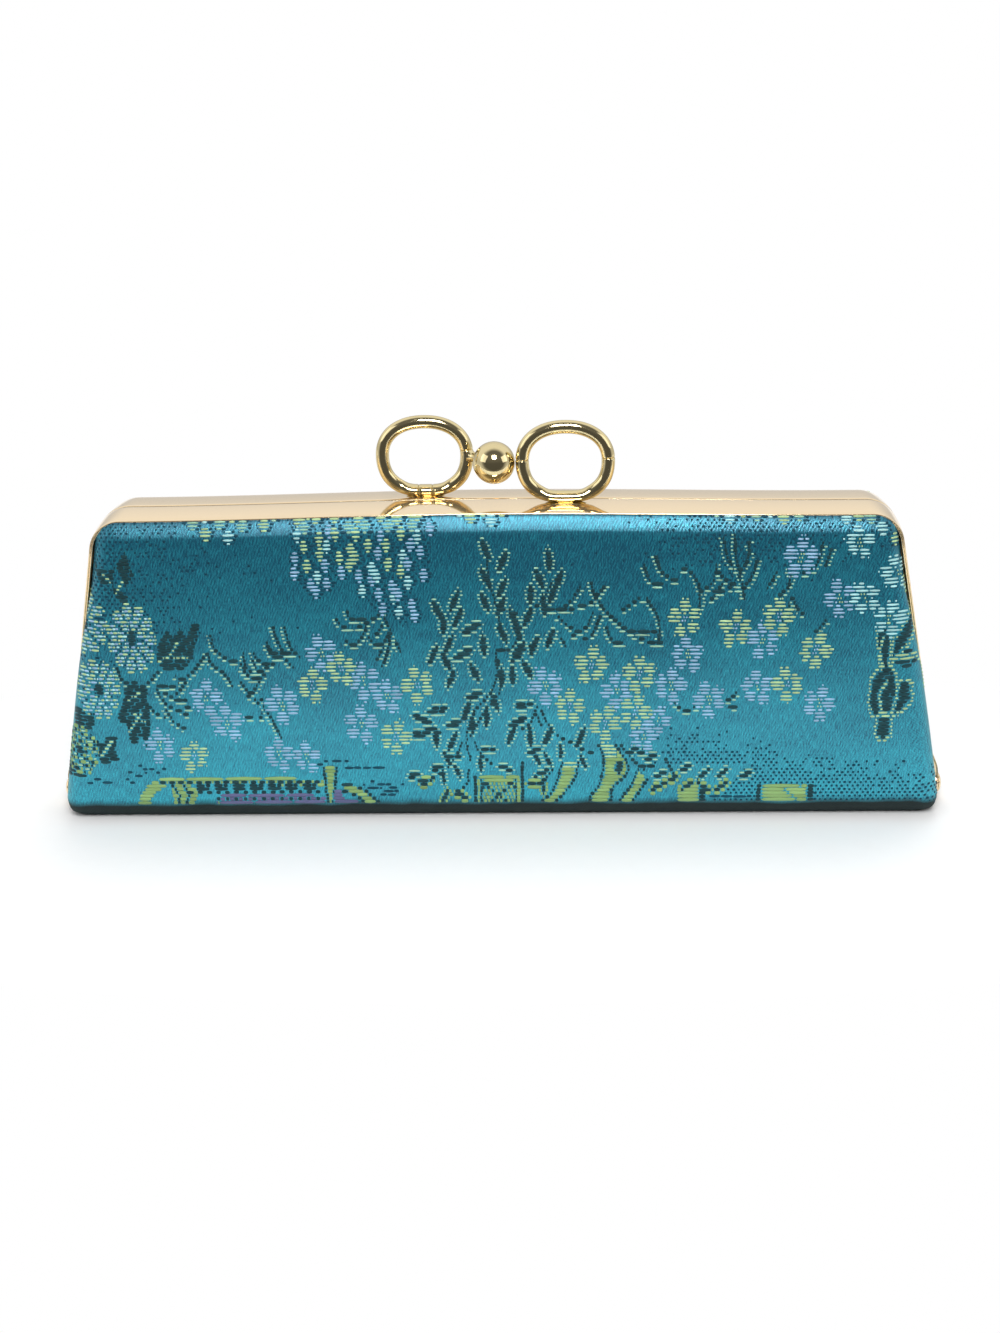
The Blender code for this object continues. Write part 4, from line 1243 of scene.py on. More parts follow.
STEMS = (
    ((-1.8, 55.0), (-1.0, 47.3), (0.3, 42.1), (1.2, 36.7)), ((10.6, 47.2), (8.5, 43.4), (6.5, 42.1)),
    ((0.3, 42.1), (4.0, 41.3)),
    ((4.6, 38.6), (3.0, 34.7), (-0.2, 33.7), (0.6, 26.8), (-2.8, 21.8), (-5.2, 17.2)),
    ((0.4, 32.2), (-0.9, 26.6), (-4.7, 21.8), (-6.0, 16.4), (-5.3, 12.7)), ((7.1, 35.6), (4.5, 33.7)),
    ((-10.5, 17.9), (-12.8, 18.9), (-16.2, 17.9)), ((-4.4, 21.6), (-8.9, 20.1)),
    ((-6.8, 16.0), (-8.2, 13.2), (-9.9, 10.9)), ((-10.5, 10.3), (-14.0, 8.3), (-15.9, 8.7)),
    ((-4.5, 16.2), (-3.0, 13.3), (-1.2, 11.7)), ((-5.7, 10.7), (-6.2, 7.6), (-8.3, 6.0)),
    ((7.3, 23.2), (6.4, 20.4), (4.5, 18.6)), ((7.0, 22.6), (8.1, 19.7)),
    ((8.3, 22.4), (9.8, 19.1), (11.4, 17.3), (14.1, 15.9), (16.1, 14.6), (18.4, 13.6)),
    ((10.2, 10.6), (8.3, 7.7)), ((23.1, 15.6), (25.0, 13.2), (26.9, 11.5), (30.4, 10.9)),
    ((31.7, 12.7), (33.0, 10.0), (33.8, 9.0)), ((23.1, 15.4), (26.2, 11.7), (27.7, 10.5)),
)
TWIGS = (
    ((12.0, 42.0), (13.9, 43.5), (15.7, 46.2)),
    ((17.6, 47.2), (18.5, 44.3), (21.2, 40.8), (26.8, 36.4), (30.9, 35.6)),
    ((20.3, 46.6), (17.5, 43.3), (12.4, 41.8), (9.8, 42.0)),
    ((11.6, 40.5), (14.8, 37.9), (16.8, 38.7), (17.9, 41.2)), ((12.0, 36.6), (12.9, 35.0)),
    ((14.2, 36.9), (17.5, 36.9), (19.4, 40.8)), ((20.5, 38.5), (21.6, 35.9), (24.9, 35.3)),
    ((20.9, 41.0), (24.4, 38.0), (29.6, 38.0)), ((23.4, 41.9), (25.3, 43.1), (26.4, 44.0)),
    ((27.9, 44.0), (30.1, 40.3), (30.3, 36.4)), ((27.3, 50.3), (28.6, 47.3), (30.8, 46.7)),
    ((29.4, 52.2), (30.4, 49.5), (32.6, 47.6), (34.8, 47.2)),
    ((34.4, 49.7), (36.2, 48.9), (37.6, 46.0), (37.6, 41.8)), ((40.6, 50.8), (40.3, 47.9), (38.1, 45.2)),
    ((41.9, 47.5), (40.0, 44.1), (37.8, 43.7)), ((41.0, 48.9), (43.8, 46.5), (45.3, 46.0)),
    ((44.1, 46.9), (41.8, 45.6), (38.7, 46.0)), ((41.8, 55.5), (42.6, 51.7), (44.3, 49.4)),
    ((43.9, 56.2), (44.2, 51.7), (45.2, 47.9), (45.9, 44.0)),
    ((46.5, 54.7), (46.4, 51.7), (45.2, 49.4), (44.7, 47.9)), ((48.1, 51.3), (46.9, 47.8), (45.8, 46.3)),
    ((51.6, 48.8), (50.2, 46.3)), ((54.1, 49.7), (54.0, 46.8), (52.1, 44.5)),
    ((59.8, 54.4), (59.0, 50.6), (57.4, 49.1), (56.3, 48.9)), ((61.6, 53.4), (60.5, 50.4)),
    ((54.4, 44.5), (54.0, 41.6), (52.9, 39.5), (51.5, 37.2)), ((54.8, 43.9), (55.8, 42.0), (57.1, 41.0)),
    ((60.8, 39.7), (59.1, 37.5)), ((44.6, 25.7), (43.3, 24.5), (41.1, 23.7)), ((41.1, 23.7), (44.8, 23.1)),
    ((33.4, 23.8), (35.3, 22.4), (38.1, 23.5)), ((-27.5, 42.2), (-27.0, 40.6), (-24.2, 40.6)),
    ((-29.6, 41.0), (-28.9, 39.5), (-27.5, 38.9)), ((-27.5, 38.9), (-25.6, 39.0), (-24.0, 40.0)),
    ((-24.1, 39.0), (-24.9, 37.3), (-26.5, 35.3)), ((-27.9, 36.5), (-26.7, 35.7), (-25.3, 36.5)),
    ((-24.1, 39.8), (-22.1, 41.0), (-20.8, 41.7)), ((-20.8, 40.9), (-19.8, 38.8), (-17.9, 34.3)),
    ((-21.1, 39.6), (-22.1, 37.8), (-23.6, 37.3)), ((-20.0, 37.8), (-20.9, 35.7), (-22.3, 32.7)),
    ((-19.7, 37.6), (-20.1, 34.9), (-21.4, 31.3)), ((-23.6, 36.7), (-22.2, 35.5), (-20.8, 36.3)),
    ((-41.5, 39.2), (-41.0, 37.0), (-40.0, 35.0)),
    ((-39.4, 39.2), (-38.9, 37.0), (-38.1, 34.8), (-36.9, 33.8)),
    ((-42.9, 36.4), (-41.9, 34.7), (-39.9, 34.1), (-37.8, 34.2)),
    ((-42.8, 35.5), (-41.6, 33.5), (-39.9, 33.3), (-38.1, 31.5)),
    ((-45.5, 34.5), (-44.8, 33.1), (-43.0, 32.1), (-41.3, 32.5)),
    ((-47.4, 34.1), (-46.8, 31.3), (-44.4, 30.7), (-42.6, 31.9)),
    ((-48.1, 31.6), (-46.7, 29.6), (-44.8, 29.3)),
    ((-48.1, 28.6), (-46.7, 26.4), (-45.3, 24.7), (-44.3, 25.3)),
    ((-47.3, 25.6), (-45.7, 27.0), (-44.7, 28.7), (-43.7, 30.1)),
    ((-47.7, 21.9), (-45.3, 21.3), (-44.1, 22.5)),
    ((-44.2, 23.9), (-43.3, 22.3), (-42.3, 20.3), (-41.1, 17.5)),
    ((-53.3, 37.7), (-52.7, 35.3), (-50.4, 33.2), (-48.6, 32.9)),
    ((-54.3, 34.4), (-53.2, 32.0), (-51.5, 30.8)), ((-51.7, 31.0), (-50.3, 29.2), (-49.8, 27.8)),
    ((-48.0, 32.5), (-46.7, 30.1), (-44.7, 29.1)), ((-45.6, 32.9), (-44.9, 30.9)),
    ((-54.9, 33.8), (-57.0, 31.0), (-60.4, 28.3), (-64.2, 27.9)),
    ((-60.5, 29.9), (-58.7, 28.8), (-60.5, 26.5)),
    ((-64.1, 27.1), (-62.9, 24.7), (-60.8, 23.3), (-58.1, 23.8)),
    ((-62.8, 26.7), (-60.6, 25.3), (-58.7, 25.0)), ((-66.2, 24.3), (-64.6, 22.5), (-63.0, 21.9)),
    ((-62.8, 23.5), (-61.3, 20.8), (-59.5, 19.6)), ((-59.7, 22.8), (-58.2, 22.0)),
    ((-71.5, 31.7), (-70.6, 29.1), (-68.4, 28.1), (-66.3, 27.7)),
    ((-63.6, 31.1), (-65.3, 29.1), (-66.9, 27.9)),
)
WAVES = (
    ((-78.8, 8.3), (-77.0, 9.1), (-76.1, 8.7), (-73.8, 8.0)), ((-71.4, 9.2), (-70.0, 8.2)),
    ((-70.9, 10.5), (-69.1, 9.9), (-67.5, 10.3)), ((-68.7, 11.9), (-67.2, 10.9), (-66.2, 11.3)),
    ((-65.3, 10.7), (-63.8, 11.1)),
    ((-34.9, 11.7), (-33.8, 11.9), (-32.4, 12.9), (-31.4, 12.7), (-29.5, 12.3), (-28.4, 12.9), (-26.7, 12.9)),
    ((-30.0, 10.8), (-27.9, 11.2), (-26.5, 11.2)),
    ((-25.6, 11.2), (-24.2, 11.0), (-23.3, 11.4), (-21.9, 11.4)),
    ((-25.9, 7.9), (-24.9, 8.1), (-23.6, 8.1), (-22.7, 7.7), (-20.9, 7.7)),
    ((-25.0, 6.9), (-23.3, 7.1), (-21.9, 6.5), (-18.9, 6.0)), ((-23.3, 5.2), (-21.6, 5.6), (-18.9, 5.2)),
    ((-20.8, 6.9), (-18.4, 7.5)),
)
FULL_FLOWERS = ((-76.6, 40.2, 3.9), (-68.2, 37.4, 4.5), (-75.2, 27.2, 3.9))
DARK_FLOWER = (-79.6, 15.0, 3.2)
FLOWER_LEAVES = (
    ((-63.6, 36.0), (-64.0, 33.0), (-62.6, 31.2), (-59.3, 30.8), (-57.0, 33.2), (-55.0, 40.4),
     (-56.7, 40.1), (-58.0, 37.9), (-58.9, 39.3), (-60.2, 38.0), (-61.8, 38.8)),
    ((-74.2, 51.6), (-72.6, 50.6), (-70.3, 51.2), (-71.0, 47.6), (-72.9, 47.8)),
    ((-70.2, 51.6), (-68.2, 54.3), (-66.9, 49.5), (-68.4, 47.4), (-69.5, 49.3)),
    ((-71.0, 47.6), (-67.9, 45.4), (-69.2, 43.9), (-71.0, 45.5)),
    ((-70.8, 27.2), (-68.4, 29.3), (-65.9, 27.5), (-66.3, 23.8), (-69.8, 23.8)),
    ((-72.2, 21.2), (-70.4, 20.2), (-70.2, 16.6), (-68.7, 16.6), (-68.0, 18.2), (-67.0, 16.0),
     (-65.9, 19.2), (-65.8, 25.1), (-70.7, 25.5)),
    ((-77.2, 17.3), (-75.3, 16.5), (-74.6, 17.9), (-72.4, 17.9), (-73.0, 15.4), (-72.2, 12.8),
     (-76.1, 12.4)),
    ((-80.1, 23.2), (-76.8, 23.4), (-76.6, 20.1), (-78.7, 18.1), (-80.2, 19.0)),
    ((-83.0, 12.6), (-79.6, 12.0), (-79.0, 9.8), (-83.4, 9.6)),
)
LEAF_VEINS = (
    ((-63.4, 32.8), (-61.0, 34.2), (-59.6, 36.6)), ((-60.2, 33.6), (-58.2, 33.8)),
    ((-69.2, 48.4), (-70.4, 46.4)), ((-72.6, 50.0), (-71.6, 48.4)), ((-69.6, 25.2), (-67.4, 26.8)),
    ((-70.0, 19.0), (-67.6, 22.4)), ((-69.4, 22.8), (-66.8, 20.6)), ((-75.8, 13.8), (-73.8, 16.8)),
)
# The boat's flat areas in the order they are woven, and its ribs
BOAT = (
    (MOSS, ((-69.9, 3.0), (-69.4, 5.3), (-67.7, 7.8), (-64.9, 9.3), (-59.6, 9.8), (-49.3, 9.5),
            (-40.4, 9.3), (-33.4, 8.5), (-33.4, 7.2), (-40.5, 7.6), (-49.3, 8.1), (-59.7, 8.3),
            (-63.4, 7.8), (-65.4, 6.7), (-66.7, 5.3), (-67.2, 3.0))),
    (MOSS, ((-62.9, 7.7), (-59.7, 8.1), (-58.2, 7.2), (-57.8, 5.6), (-59.2, 3.0), (-62.6, 3.0))),
)
BOAT_RIBS = (((-62.6, 7.6), (-61.4, 5.6), (-62.0, 3.0)), ((-60.4, 7.6), (-59.6, 5.6), (-60.6, 3.4)))
BOAT_DECK = (
    (PURPLE, ((-54.6, 3.4), (-53.5, 6.1), (-38.1, 5.9), (-32.7, 5.3), (-32.8, 3.6))),
    (MOSS, ((-55.4, 3.0), (-54.0, 4.2), (-48.0, 3.9), (-40.0, 3.6), (-36.0, 3.0))),
)
# Rows of dark marks on the boat: first place, last and step, then a mark's four sides, then the row's end
BOAT_MARKS = (
    ((-58.0, -36.6, 3.4), (0, 2.7, 6.9, 7.9), CHART_HALF),
    ((-65.0, -34.0, 1.75), (0, 1.1, 8.0, 8.6), CHART_HALF),
    ((-65.0, -34.0, 1.75), (5.4, 6.3, 6.0, 6.6), -33.4),
    ((-65.0, -34.0, 1.75), (10.6, 11.5, 4.5, 5.0), -34.4),
)
BOAT_POST = (((-33.4, 11.3), (-33.1, 8.0), (-32.9, 3.0)), ((-30.8, 11.3), (-31.3, 8.0), (-31.9, 3.0)))
BOAT_STERN = (((-29.9, 7.9), (-26.2, 6.8), (-22.4, 3.4)), ((-30.0, 6.4), (-27.4, 5.4), (-25.4, 3.2)))
FIGURE = ((-31.8, 2.6), (-32.0, 6.0), (-31.0, 7.0), (-29.8, 6.3), (-29.6, 2.6))
STERN_SHADE = ((-29.6, 2.8), (-29.6, 4.9), (-27.2, 4.4), (-25.4, 2.8))
# The garden's curved trunks, each as its left and right line
TRUNKS = (
    (((12.2, 12.2), (11.4, 9.4), (10.8, 7.3), (9.6, 5.3), (6.6, 3.0)),
     ((15.2, 12.0), (14.7, 9.5), (13.6, 7.3), (11.7, 4.8), (9.4, 3.0))),
    (((18.8, 15.8), (19.8, 13.4), (19.8, 10.5), (18.8, 6.9), (17.3, 5.0), (18.0, 3.0)),
     ((22.0, 15.8), (24.5, 11.7), (24.2, 9.3), (21.7, 6.8), (21.3, 4.4), (20.7, 3.0))),
)
LAST_TRUNK = (((26.4, 10.3), (25.1, 7.2), (23.5, 4.8), (22.8, 3.0)), ((28.4, 8.6), (26.7, 6.0), (25.0, 3.0)))
# A dark leaf on the second trunk: place of its foot, length, width and way it points in degrees
TRUNK_LEAF = (22.9, 9.6, 3.0, 1.6, 90)
TRUNK_TIPS = ((11.8, 15.2, 10.8, 16.0), (18.8, 22.4, 13.0, 16.0))
FENCE = (-4.2, 4.1, 2.0, 9.3)
FENCE_PANEL = (-3.2, 3.1, 2.6, 8.2)
FENCE_MIDDLE = (-0.05, 5.3)
# The fence's crossed bars: slope, half width and how far out the corner bars lie; then its inner uprights
LATTICE_SLOPE = 0.9
LATTICE_HALF = 0.30
LATTICE_CORNERS = 4.3
UPRIGHT_OFFSET = 3.3
UPRIGHT_HALF = 0.2
FENCE_INSIDE = (-4, 4, 2, 8.4)
FENCE_POSTS = ((-4.8, -4.2, 2.0, 9.5), (4.2, 4.8, 2.0, 12.0))
WALLS = ((33.8, 38.2, 4.0, 7.0), (50.0, 58.6, 3.0, 7.0))
WALL_POSTS = ((38.2, 39.4, 2.0, 6.4), (48.8, 50.0, 2.0, 7.4), (58.6, 59.8, 2.0, 7.4))
WALL_RAIL = (39.8, 48.2, 4.3, 4.9)
# The blades and gourd at the right end, and the bright lines on them
BLADES = (
    ((70.6, 37.2), (72.0, 38.6), (73.0, 35.0), (72.6, 31.4), (74.2, 29.0), (74.4, 25.0), (73.6, 22.4),
     (70.6, 21.4), (69.6, 24.2), (70.0, 28.2), (71.6, 30.2)),
    ((76.6, 41.6), (77.4, 41.0), (76.6, 37.4), (74.6, 33.6), (73.6, 31.6), (73.6, 34.4), (74.6, 37.8)),
    ((74.8, 24.8), (75.2, 27.8), (76.5, 27.2), (76.8, 24.4), (75.8, 22.2), (74.4, 21.6)),
    ((71.4, 20.6), (73.6, 20.6), (73.6, 17.4), (72.4, 16.4), (71.0, 17.4)),
)
BLADE_LINES = (
    ((72.8, 27.8), (71.4, 25.4), (72.0, 22.2), (73.2, 20.6)), ((71.6, 36.6), (71.2, 33.4), (72.0, 30.4)),
    ((77.6, 31.8), (79.4, 29.8), (79.6, 26.0)), ((78.2, 32.6), (79.4, 34.2)),
)
BUD = (75.8, 32.2)


def weave_blossoms(chart):
    """Blossoms over the whole panel and the crowded cluster under the frame."""
    inside = chart.polygon(CLUSTER)
    chart.paint(inside & (chart.hatch(5, 2) < 2), NAVY)
    for column, u in enumerate(np.arange(*CLUSTER_ACROSS)):
        for row, v in enumerate(np.arange(*CLUSTER_UP)):
            u_here = u + 0.55 * math.sin(5.1 * row + 2.3 * column)
            v_here = v + CLUSTER_UP[2] / 2 * (column % 2) + 0.5 * math.sin(3.7 * row + 1.9 * column)
            if not chart.holds(inside, u_here, v_here):
                continue
            lime = any(
                left < u_here < right and low < v_here < high for left, right, low, high in LIME_HANGINGS
            )
            if v_here > CLUSTER_FRINGE:
                chart.hanging_petal(u_here, v_here, (SAGE, LIME)[(row + column) % 2], 1.25)
            else:
                chart.hanging_petal(u_here, v_here, LIME if lime else (LILAC, PALE)[(row + column) % 3 == 0])
    for index, (u, v) in enumerate(EDGE_PETALS):
        chart.hanging_petal(u, v, (SAGE, PALE, LIME)[index % 3], 1.35)
    for index, place in enumerate(LILAC_BLOSSOMS):
        chart.blossom(place, LILAC, LIME, 0.25 * math.sin(index * 1.7), (-1) ** (index // 2))
    for index, place in enumerate(PALE_BLOSSOMS):
        chart.blossom(place, PALE, LIME, 0.2 * index)
    for index, place in enumerate(LIME_BLOSSOMS):
        chart.blossom(place, LIME, LILAC, 0.25 * math.sin(index * 1.3), (-1) ** (index // 2))


def weave_full_flowers(chart):
    """Full flowers and their dark leaves at the left end."""
    for outline in FLOWER_LEAVES:
        chart.paint(chart.polygon(outline), DARK)
    for line in LEAF_VEINS:
        chart.paint(chart.near_line(line, VEIN_HALF) & (chart.hatch(4, 2) < 3), LIME)
    for place in FULL_FLOWERS:
        chart.full_flower(*place)
    chart.full_flower(*DARK_FLOWER, (MOSS, SAGE, DARK))


def weave_boat(chart):
    """A roofed boat at the foot, on a few wave strokes."""
    for colour, outline in BOAT:
        chart.paint(chart.polygon(outline), colour)
    for line in BOAT_RIBS:
        chart.paint(chart.near_line(line, RIB_HALF), DARK)
    for colour, outline in BOAT_DECK:
        chart.paint(chart.polygon(outline), colour)
    for places, (left, right, low, high), end in BOAT_MARKS:
        for u in np.arange(*places):
            chart.paint(chart.block(u + left, u + right, low, high) & (chart.u < end), DARK)
    for edges, shade in ((BOAT_POST, FIGURE), (BOAT_STERN, STERN_SHADE)):
        chart.ribbon(*edges)
        chart.paint(chart.polygon(shade), PURPLE)
    for line in WAVES:
        chart.paint(chart.near_line(smooth_line(line), WAVE_HALF), NAVY)


def weave_garden(chart):
    """Lattice fence, curved trunks and a low wall at the foot."""
    panel = chart.block(*FENCE_PANEL)
    chart.paint(chart.block(*FENCE), MOSS)
    chart.paint(panel & (chart.hatch(3, 1) == 0), GROUND)
    beside, above = np.abs(chart.u - FENCE_MIDDLE[0]), np.abs(chart.v - FENCE_MIDDLE[1])
    cross = np.abs(beside * LATTICE_SLOPE - above) < LATTICE_HALF
    corners = np.abs(beside * LATTICE_SLOPE + above - LATTICE_CORNERS) < LATTICE_HALF
    inner = (np.abs(beside - UPRIGHT_OFFSET) < UPRIGHT_HALF) & chart.block(*FENCE_INSIDE)
    chart.paint((panel & (cross | corners)) | inner, DARK)
    for post in FENCE_POSTS:
        chart.paint(chart.block(*post), DARK)
    for edges in TRUNKS:
        chart.ribbon(*edges)
    for tip in TRUNK_TIPS:
        chart.paint(chart.block(*tip) & (chart.cells == MOSS), LIME)
    chart.paint(chart.lens(*TRUNK_LEAF), DARK)
    chart.ribbon(*LAST_TRUNK)
    for wall in WALLS:
        chart.paint(chart.block(*wall), MOSS)
    for post in WALL_POSTS:
        chart.paint(chart.block(*post), DARK)
    chart.paint(chart.block(*WALL_RAIL), NAVY)


def weave_gourd(chart):
    """Two dark blades over a round gourd at the right end."""
    for outline in BLADES:
        shape = chart.polygon(outline)
        chart.paint(chart.grown(shape, 2, 1) & ~shape & (chart.hatch(4, 2) < 3), LIME)
    for outline in BLADES:
        chart.paint(chart.polygon(outline), DARK)
    bud = np.hypot((chart.u - BUD[0]) / 1.4, chart.v - BUD[1]) < 1.5
    chart.paint(bud, DARK)
    chart.paint(bud & (np.abs(chart.v - BUD[1] - 0.2) < 0.8), LIME)
    for line in BLADE_LINES:
        chart.paint(chart.near_line(smooth_line(line), EDGE_HALF), LIME)


def weave_chart():
    """The whole pattern."""
    chart = WeaveChart()
    weave_boat(chart)
    weave_garden(chart)
    for points in STEMS:
        chart.paint(chart.near_line(smooth_line(points), STEM_HALF), DARK)
    for u, v, angle in LEAVES:
        length, width = LOW_LEAF if v < LOW_LEAVES else LEAF
        chart.leaf(u, v, length, width, angle, MOSS if v < MOSS_LEAVES else SAGE)
    for points in TWIGS:
        chart.twig(points)
    weave_full_flowers(chart)
    weave_gourd(chart)
    weave_blossoms(chart)
    u, v = chart.u, chart.v
    under_top = BANK_TOP - (u - BANK_MIDDLE) * BANK_SLOPE - v
    open_ground = (v > BANK_LOW) | (u > BANK_START[1] + v)
    weight = smooth_step(u, *BANK_START) * smooth_step(under_top, *BANK_FADE) * open_ground
    for middle, low, high, density in STIPPLES:
        shadow = np.exp(-(((u - middle) / STIPPLE_HALF) ** 2)) * smooth_step(v, low, high) * density
        weight = np.maximum(weight, shadow)
    chart.stipple(weight)
    return chart


# Threads, in metres again

# Name, height share, width share and gloss of each colour
THREADS = {
    LIME: ("lime", 1.0, 1.0, 0.5),
    LILAC: ("lilac", 1.0, 1.0, 0.5),
    DARK: ("dark", 0.6, 1.8, 0.15),
    PALE: ("pale", 1.0, 1.0, 0.5),
    PURPLE: ("purple", 0.5, 1.9, 0.2),
    NAVY: ("navy", 0.6, 1.35, 0.15),
    MOSS: ("moss", 0.5, 1.95, 0.2),
    SAGE: ("sage", 0.9, 0.9, 0.4),
}
# A float's ends and row wander by chance; its half length is cut at the ends and has a least value
END_SCATTER = 0.00006
ROW_SCATTER = 0.00003
END_GAP = 0.00002
LEAST_HALF = 0.00012
SHORT_HALF = 0.0003
SHORT_WIDTH = 0.86
# A float's form: power that blunts its ends, and half its thickness and its middle as shares of its height
END_POWER = 0.55
FLOAT_HALF = 0.62
FLOAT_MIDDLE = 0.30
# Middle and scatter of the floats' shades, and how far round the roll they go: at the foot and elsewhere
SHADE_SPREAD = (0.55, 0.2)
ROLL_SHARES = (0.08, 1.02)


def thread_template():
    """One float: a low, blunt-ended strand along X, from -1 to 1 each way."""
    bm = bmesh.new()
    turn = Matrix.Rotation(math.pi / 2, 3, "Y")
    bmesh.ops.create_uvsphere(bm, u_segments=6, v_segments=4, radius=1)
    bmesh.ops.rotate(bm, matrix=turn, verts=bm.verts)
    for vert in bm.verts:
        vert.co.x = math.copysign(abs(vert.co.x) ** END_POWER, vert.co.x)
    return mesh_from(bm, "float")


def thread_mesh(name, floats, tray, tall, wide):
    """Every float of one colour, laid on the cloth."""
    template = thread_template()
    unit = np.array([vert.co[:] for vert in template.vertices])
    bm = bmesh.new()
    for _ in floats:
        bm.from_mesh(template)
    bpy.data.meshes.remove(template)
    mesh = mesh_from(bm, name)
    count = len(floats)
    _, start, end, up = np.array(floats).T
    random = np.random.default_rng(5)
    start = start * MM + random.normal(0, END_SCATTER, count)
    end = end * MM + random.normal(0, END_SCATTER, count)
    middle, half = (start + end) / 2, np.maximum((end - start) / 2 - END_GAP, LEAST_HALF)
    row = up * MM + random.normal(0, ROW_SCATTER, count)
    narrow = sizes().thread_width / 2 * wide * np.where(half < SHORT_HALF, SHORT_WIDTH, 1)
    u = middle[:, None] + half[:, None] * unit[:, 0]
    v = row[:, None] + narrow[:, None] * unit[:, 1]
    lift = np.tile(sizes().thread_height * tall * (unit[:, 2] * FLOAT_HALF + FLOAT_MIDDLE), count)
    place = tray.drape_lifted(np.stack([u.ravel(), v.ravel()], 1), lift)
    mesh.vertices.foreach_set("co", place.astype(np.float32).ravel())
    shade = mesh.attributes.new("shade", "FLOAT", "POINT")
    value = np.clip(random.normal(*SHADE_SPREAD, count), 0, 1)
    shade.data.foreach_set("value", np.repeat(value, len(unit)).astype(np.float32))
    if tray.side == FRONT:
        mesh.flip_normals()
    mesh.update()
    return mesh


# Operators


class GLASSESCASE_OT_frame(bpy.types.Operator):
    """Builds both halves of the polished metal frame."""

    bl_idname = "glasses_case.frame"
    bl_label = "Frame"

    def execute(self, context):
        for prefix, side in HALVES:
            name, body, node = prefix + "_frame", prefix + "_half", prefix + "_frame_rim"
            metal_piece(name, rim_mesh(name, side), finish_of(polished_gold), body, node)
        return {"FINISHED"}


class GLASSESCASE_OT_clasp(bpy.types.Operator):
    """Builds the two wire rings and the snap ball."""

    bl_idname = "glasses_case.clasp"
    bl_label = "Clasp"

    def execute(self, context):
        gold = finish_of(clasp_gold)
        wire = sizes().wire_radius
        for prefix, side in HALVES:
            name, body, node = prefix + "_ring", prefix + "_half", prefix + "_clasp_ring"
            x, y, z = ring_centre(side)
            foot = z - RING_HEIGHT / 2
            parts = [ring_mesh(name, side, RING_JOINTS[prefix])]
            for pin_x in (x - PIN_SPACING / 2, x + PIN_SPACING / 2):
                ends = (pin_x, y, foot - PIN_LENGTH), (pin_x, y, foot + wire)
                parts.append(rod(name + "_pin", *ends, PIN_RADIUS))
            solder = (x, y + side * SOLDER_OFFSET[0], foot - SOLDER_OFFSET[1])
            parts.append(blob(name + "_solder", solder, SOLDER_RADII))
            metal_piece(name, joined(name, parts), gold, body, node)
        ring = ring_centre(REAR)
        centre = Vector((0, BALL_Y, ring.z - BALL_DROP))
        eye = ring + Vector((RING_LENGTH / 2 - wire, 0, 0))
        toward = (centre - eye).normalized()
        ball = blob("ball", centre, (BALL_RADIUS + BALL_SKIN,) * 3, 64)
        ends = eye + toward * wire * 0.9, centre - toward * BALL_RADIUS * 0.9
        both = joined("snap_ball", [ball, rod("neck", *ends, NECK_RADIUS, 1.35)])
        metal_piece("snap_ball", both, gold, "rear_half", "clasp_ball")
        return {"FINISHED"}


class GLASSESCASE_OT_hinge(bpy.types.Operator):
    """Builds the rivets and washers at the foot corners."""

    bl_idname = "glasses_case.hinge"
    bl_label = "Hinge"

    def execute(self, context):
        outer = ear_x(FRONT) + COIN
        inner = outer - EAR_STACK - EAR_THICKNESS
        head, tail, middle = outer + HEAD_GAP, inner - HEAD_GAP, (outer + inner) / 2
        turns = np.radians(np.linspace(0, 90, 10))[1:]
        dome = [(head + HEAD_RISE * math.cos(turn), HEAD_RADIUS * math.sin(turn)) for turn in turns]
        rivet = [(head + HEAD_RISE, 0), *dome, (head, SHANK_RADIUS), (tail, SHANK_RADIUS)]
        rivet += [(tail - beyond, radius) for beyond, radius in RIVET_TAIL]
        washer = [(middle + along, radius) for along, radius in WASHER_SECTION]
        for label, end in ENDS:
            for kind, profile, maker, slot in (
                ("rivet_", rivet, polished_gold, "polished_gold"),
                ("washer_", washer, satin_steel, "plated_steel"),
            ):
                name = kind + label
                mesh = turned(name, profile, end)
                metal_piece(name, mesh, finish_of(maker), "rear_half", "hinge_" + name)
        return {"FINISHED"}


# CAD solids that only get a material, by the ending of their names
KEPT_NODES = {"_shell_board": shell_board, "_channel_cord": paper_cord, "_clasp_backplate": satin_steel}


class GLASSESCASE_OT_layers(bpy.types.Operator):
    """Builds the padding and lining of each half, and finishes the board, cord and plates."""

    bl_idname = "glasses_case.layers"
    bl_label = "Inner layers"

    def execute(self, context):
        for prefix, side in HALVES:
            name, body, nodes = prefix + "_pad", prefix + "_half", [prefix + "_padding"]
            mesh = Tray(side, PAD_INSET).sheet(name, 80, 40, rings=8, wall_rings=2)
            pad = piece(name, mesh, finish_of(foam_padding), body, nodes, PAD_THICKNESS)
            name, nodes = prefix + "_inner_lining", [prefix + "_lining"]
            lining = Tray(side, LINING_INSET, LINING_TUCK)
            mesh = lining.sheet(name, 132, 72, rings=14, wall_rings=3, turned_rings=3)
            cloth = piece(name, mesh, finish_of(lining_satin), body, nodes, LINING_THICKNESS)
            for suffix, maker in KEPT_NODES.items():
                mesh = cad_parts[prefix + suffix].data
                mesh.materials.clear()
                mesh.materials.append(finish_of(maker))
        return {"FINISHED"}


